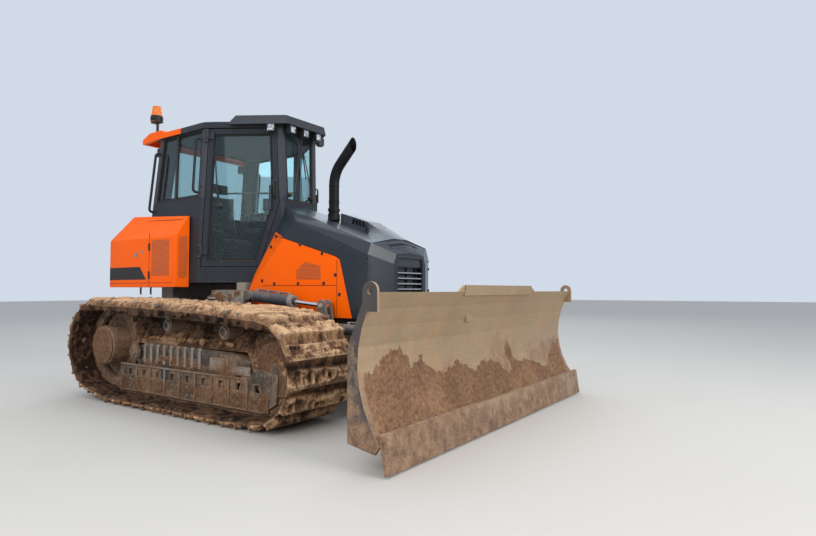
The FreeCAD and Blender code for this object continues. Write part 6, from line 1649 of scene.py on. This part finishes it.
def make_floor(colour):
    """Studio floor with a faint cloudy tone."""
    s, surface = new_material("Studio floor", Roughness=0.85)
    cloud = s.noise(0.35, 5.0, 0.6)
    connect(s, surface, Base_Color=s.mix(s.spread(cloud, 0.3, 0.7, 0.0, 0.25), (*colour, 1.0),
                                         rgb("b5b0a8")),
            Normal=s.bump(s.noise(40.0), 0.08, 0.002))
    line = np.linspace(-FLOOR_HALF, FLOOR_HALF, 9)
    spread = np.stack(np.meshgrid(line, line, indexing="ij"), -1)
    verts, faces = grid(np.concatenate([spread, np.full((9, 9, 1), FLOOR_LEVEL)], 2))
    mesh = bpy.data.meshes.new("studio_floor")
    mesh.from_pydata(verts.tolist(), [], faces[0].tolist())
    mesh.materials.append(bpy.data.materials["Studio floor"])
    added("studio_floor", mesh)


def make_lights(power, sky):
    """Pale even sky and the studio's lamps; the key light leaves no glint of its own."""
    world = bpy.data.worlds.new("Pale sky")
    world.use_nodes = True
    background = world.node_tree.nodes["Background"].inputs
    background[0].default_value, background[1].default_value = SKY_COLOUR, sky
    bpy.context.scene.world = world
    for name, (spot, aim, size, share, tint) in LIGHTS.items():
        light = bpy.data.lights.new(name, "AREA")
        light.size, light.energy, light.color = size, share * power, tint
        lamp = added(name, light)
        lamp.location = spot
        lamp.rotation_euler = looking(mathutils.Vector(aim) - mathutils.Vector(spot))
        lamp.visible_camera = False
        lamp.visible_glossy = name != "key"


class MakeStage(DozerStep, bpy.types.Operator):
    """Floor, lights and the camera at the photograph's angle"""
    bl_idname = "dozer.stage"
    bl_label = "Stage"

    def execute(self, context):
        scene, sizes = context.scene, context.scene.dozer_sizes
        make_floor(scene.dozer_colours.floor)
        make_lights(sizes.key_light, sizes.sky)
        lens = bpy.data.cameras.new("camera")
        lens.lens, lens.sensor_width, lens.clip_end = sizes.lens, 36.0, 300.0
        camera = added("camera", lens)
        camera.location, camera.rotation_euler = CAMERA_PLACE, looking(CAMERA_AIM)
        scene.camera = camera
        scene.view_settings.view_transform = "Standard"
        return {"FINISHED"}


class MakeFinishes(DozerStep, bpy.types.Operator):
    """Materials of the whole machine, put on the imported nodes, with their panel edges rounded"""
    bl_idname = "dozer.finishes"
    bl_label = "Finishes"

    def execute(self, context):
        make_effects()
        make_paints(context.scene.dozer_colours)
        make_mud()
        make_metals()
        make_clear()
        make_soft_finishes()
        for material, names in NODE_FINISH.items():
            for name in names.split():
                for slot in nodes[name].material_slots:
                    slot.material = bpy.data.materials[material]
        for name in ROUNDED_NODES:
            soften(nodes[name], context.scene.dozer_sizes.edge_radius, weld=True)
        return {"FINISHED"}


class MakeTrackMud(DozerStep, bpy.types.Operator):
    """Mud on both tracks, outside between the grousers and inside beside the links"""
    bl_idname = "dozer.track_mud"
    bl_label = "Track mud"

    def execute(self, context):
        for side, name in SIDES:
            for upper, place in ((True, "upper_"), (False, "under_")):
                patch, painted_shading = belt_mud(side, upper)
                piece("track_mud_" + place + name, [patch], "Dried mud", angle=60, painted_shading=painted_shading)
            patches, painted_shading = zip(*(lining_mud(side, half) for half in (-1, 1)))
            piece("track_lining_" + name, patches, "Dried mud", angle=60,
                  painted_shading=np.concatenate([part.ravel() for part in painted_shading]))
            piece("track_clods_" + name, track_clods(side), "Dried mud", angle=50)
        return {"FINISHED"}


class MakeTrackTrim(DozerStep, bpy.types.Operator):
    """Link pins, guard ribs, drive bolts and the mud on the roller frames"""
    bl_idname = "dozer.track_trim"
    bl_label = "Track trim"

    def execute(self, context):
        for name, patches in (("link_pins", link_pins()), ("guard_trim", guard_trim()),
                              ("drive_trim", drive_trim())):
            piece(name, patches, "Muddy steel")
        patches, painted_shading = frame_mud()
        piece("roller_frame_mud", patches, "Dried mud", angle=60, painted_shading=painted_shading)
        return {"FINISHED"}


class MakeGlazing(DozerStep, bpy.types.Operator):
    """Rubber seals and black borders of every window"""
    bl_idname = "dozer.glazing"
    bl_label = "Glazing"

    def execute(self, context):
        for body, patches in glazing_seals(context.scene.dozer_sizes.seal_width).items():
            piece("glass_seals_" + body, patches, "Rubber seal", body)
        return {"FINISHED"}


class MakeCabTrim(DozerStep, bpy.types.Operator):
    """Wipers, window bars, handles and bolts of the cab, and the roof's trim"""
    bl_idname = "dozer.cab_trim"
    bl_label = "Cab trim"

    def execute(self, context):
        fixed, handle = cab_trim()
        add_pieces("cab", fixed)
        piece("door_handle_right", handle, "Black plastic", "door_right")
        piece("door_handle_left", mirrored(handle), "Black plastic", "door_left")
        add_pieces("roof", roof_trim())
        return {"FINISHED"}


class MakeLamps(DozerStep, bpy.types.Operator):
    """Bezels and lenses of the work lamps, and the beacon's base and bracket"""
    bl_idname = "dozer.lamps"
    bl_label = "Lamps"

    def execute(self, context):
        bezels, lenses = lamp_faces()
        piece("lamp_bezels", bezels, "Black plastic")
        piece("lamp_lenses", lenses, "Lamp lens", angle=60)
        piece("beacon_base", beacon_base(), "Black plastic")
        return {"FINISHED"}


def beacon_base():
    """Black base with its rings, top cap, stem and bracket of the beacon."""
    x, y = -292, -600
    base = [(0.0672, -0.003), (0.0690, 0.002), (0.0690, 0.060), (0.0672, 0.066)]
    ring = [lathe(base, at((x, y, 3155)), (0, 0, 1), 40)]
    for z in (3168, 3184, 3200):
        ring.append(grid_ring([(0.066, -0.003), (0.0725, -0.003), (0.0725, 0.003), (0.066, 0.003)],
                              at((x, y, z)), (0, 0, 1), 40))
    ring.append(block((x - 62, y - 42, 3136), (x + 72, y + 42, 3152), 0.003))
    ring.append(tube(at([(x + 20, y, 2968), (x + 20, y, 3140)]), 0.0158, 14))
    ring.append(block((x - 22, y - 36, 2903), (x + 62, y + 36, 2977), 0.004))
    cap = [(0.030, 0.0), (0.030, 0.003), (0.022, 0.0045)]
    ring.append(lathe(cap, at((x, y, 3330.2)), (0, 0, 1), 24))
    return ring


class MakeHood(DozerStep, bpy.types.Operator):
    """Bolts, joints, slots and grille frame of the engine enclosure, and the exhaust's clamps"""
    bl_idname = "dozer.hood"
    bl_label = "Hood"

    def execute(self, context):
        add_pieces("hood", hood_trim())
        piece("hood_cowl", [hood_cowl()], "Grey body paint", angle=30, bevel=0.006)
        piece("exhaust_clamps", exhaust_trim(), "Exhaust steel")
        piece("vent_screens", vent_mesh(), "Vent mesh")
        return {"FINISHED"}


class MakeRear(DozerStep, bpy.types.Operator):
    """Joints, latches, lamps and mesh of the rear body"""
    bl_idname = "dozer.rear"
    bl_label = "Rear body"

    def execute(self, context):
        add_pieces("rear", rear_trim())
        piece("rear_mesh", rear_mesh(), "Black paint")
        return {"FINISHED"}


class MakeBlade(DozerStep, bpy.types.Operator):
    """Bolts and dirt of the blade, and the trims of its cylinders and frame"""
    bl_idname = "dozer.blade"
    bl_label = "Blade and linkage"

    def execute(self, context):
        add_pieces("blade", blade_trim(), "blade")
        piece("blade_dirt", blade_dirt(), "Dried mud", "blade", 50)
        for kind in CYLINDERS:
            for end, turn in (("", list),) if kind == "tilt" else (("_right", list), ("_left", mirrored)):
                steel, rubber = map(turn, cylinder_trim(kind))
                body = kind + "_barrel" + end
                piece(body + "_trim", steel, "Cylinder paint", body)
                piece(kind + "_wiper_ring" + end, rubber, "Rubber seal", body)
        tower, shaft = frame_trim()
        piece("tower_pin_bolts", tower, "Frame paint", "lift_frame")
        piece("arm_pin_bolts", shaft, "Frame paint")
        piece("lift_pipes", root_pipes(), "Frame paint")
        return {"FINISHED"}


class MakeSeat(DozerStep, bpy.types.Operator):
    """Seat cushions, headrest and the cab's lining, mat and display"""
    bl_idname = "dozer.seat"
    bl_label = "Seat and cab inside"

    def execute(self, context):
        flat = np.array([(0, -1.0, 0), (1.0, 0, 0), (0, 0, 1.0)])
        lean = np.array([(0, 1.0, 0), SEAT_LEAN, np.cross((0, 1.0, 0), SEAT_LEAN)])
        make_pad("seat_cushion", (336, 0, 1670), flat, (218, 218, 46), (-0.35, 0.3),
                 ("seat_cushions",))
        make_pad("seat_back", (168, 0, 2035), lean, (214, 272, 44), (-0.45, 0.05, 0.5))
        make_pad("head_rest", (126, 0, 2375), lean, (120, 62, 34), ())
        for side, name in SIDES:
            make_pad("arm_rest_" + name, (380, side * 365, 1876), flat, (42, 150, 20), ())
        add_pieces("inside", cab_inside())
        return {"FINISHED"}


STEPS = (MakeStage, MakeFinishes, MakeTrackMud, MakeTrackTrim, MakeGlazing, MakeCabTrim, MakeLamps,
         MakeHood, MakeRear,
         MakeBlade, MakeSeat)


class DozerPanel(bpy.types.Panel):
    """Lists the dresser's settings and steps"""
    bl_idname = "VIEW3D_PT_dozer"
    bl_label = "Crawler dozer"
    bl_space_type = "VIEW_3D"
    bl_region_type = "UI"
    bl_category = "Dozer"

    def draw(self, context):
        for group in (context.scene.dozer_colours, context.scene.dozer_sizes):
            for name in group.__annotations__:
                self.layout.prop(group, name)
        for step in STEPS:
            self.layout.operator(step.bl_idname)


CLASSES = (DozerColours, DozerSizes, *STEPS, DozerPanel)


def register():
    for item in CLASSES:
        bpy.utils.register_class(item)
    bpy.types.Scene.dozer_colours = bpy.props.PointerProperty(type=DozerColours)
    bpy.types.Scene.dozer_sizes = bpy.props.PointerProperty(type=DozerSizes)


def unregister():
    del bpy.types.Scene.dozer_sizes
    del bpy.types.Scene.dozer_colours
    for item in reversed(CLASSES):
        bpy.utils.unregister_class(item)


def main():
    register()
    for step in STEPS:
        group, name = step.bl_idname.split(".")
        getattr(getattr(bpy.ops, group), name)()


if __name__ == "__main__":
    main()
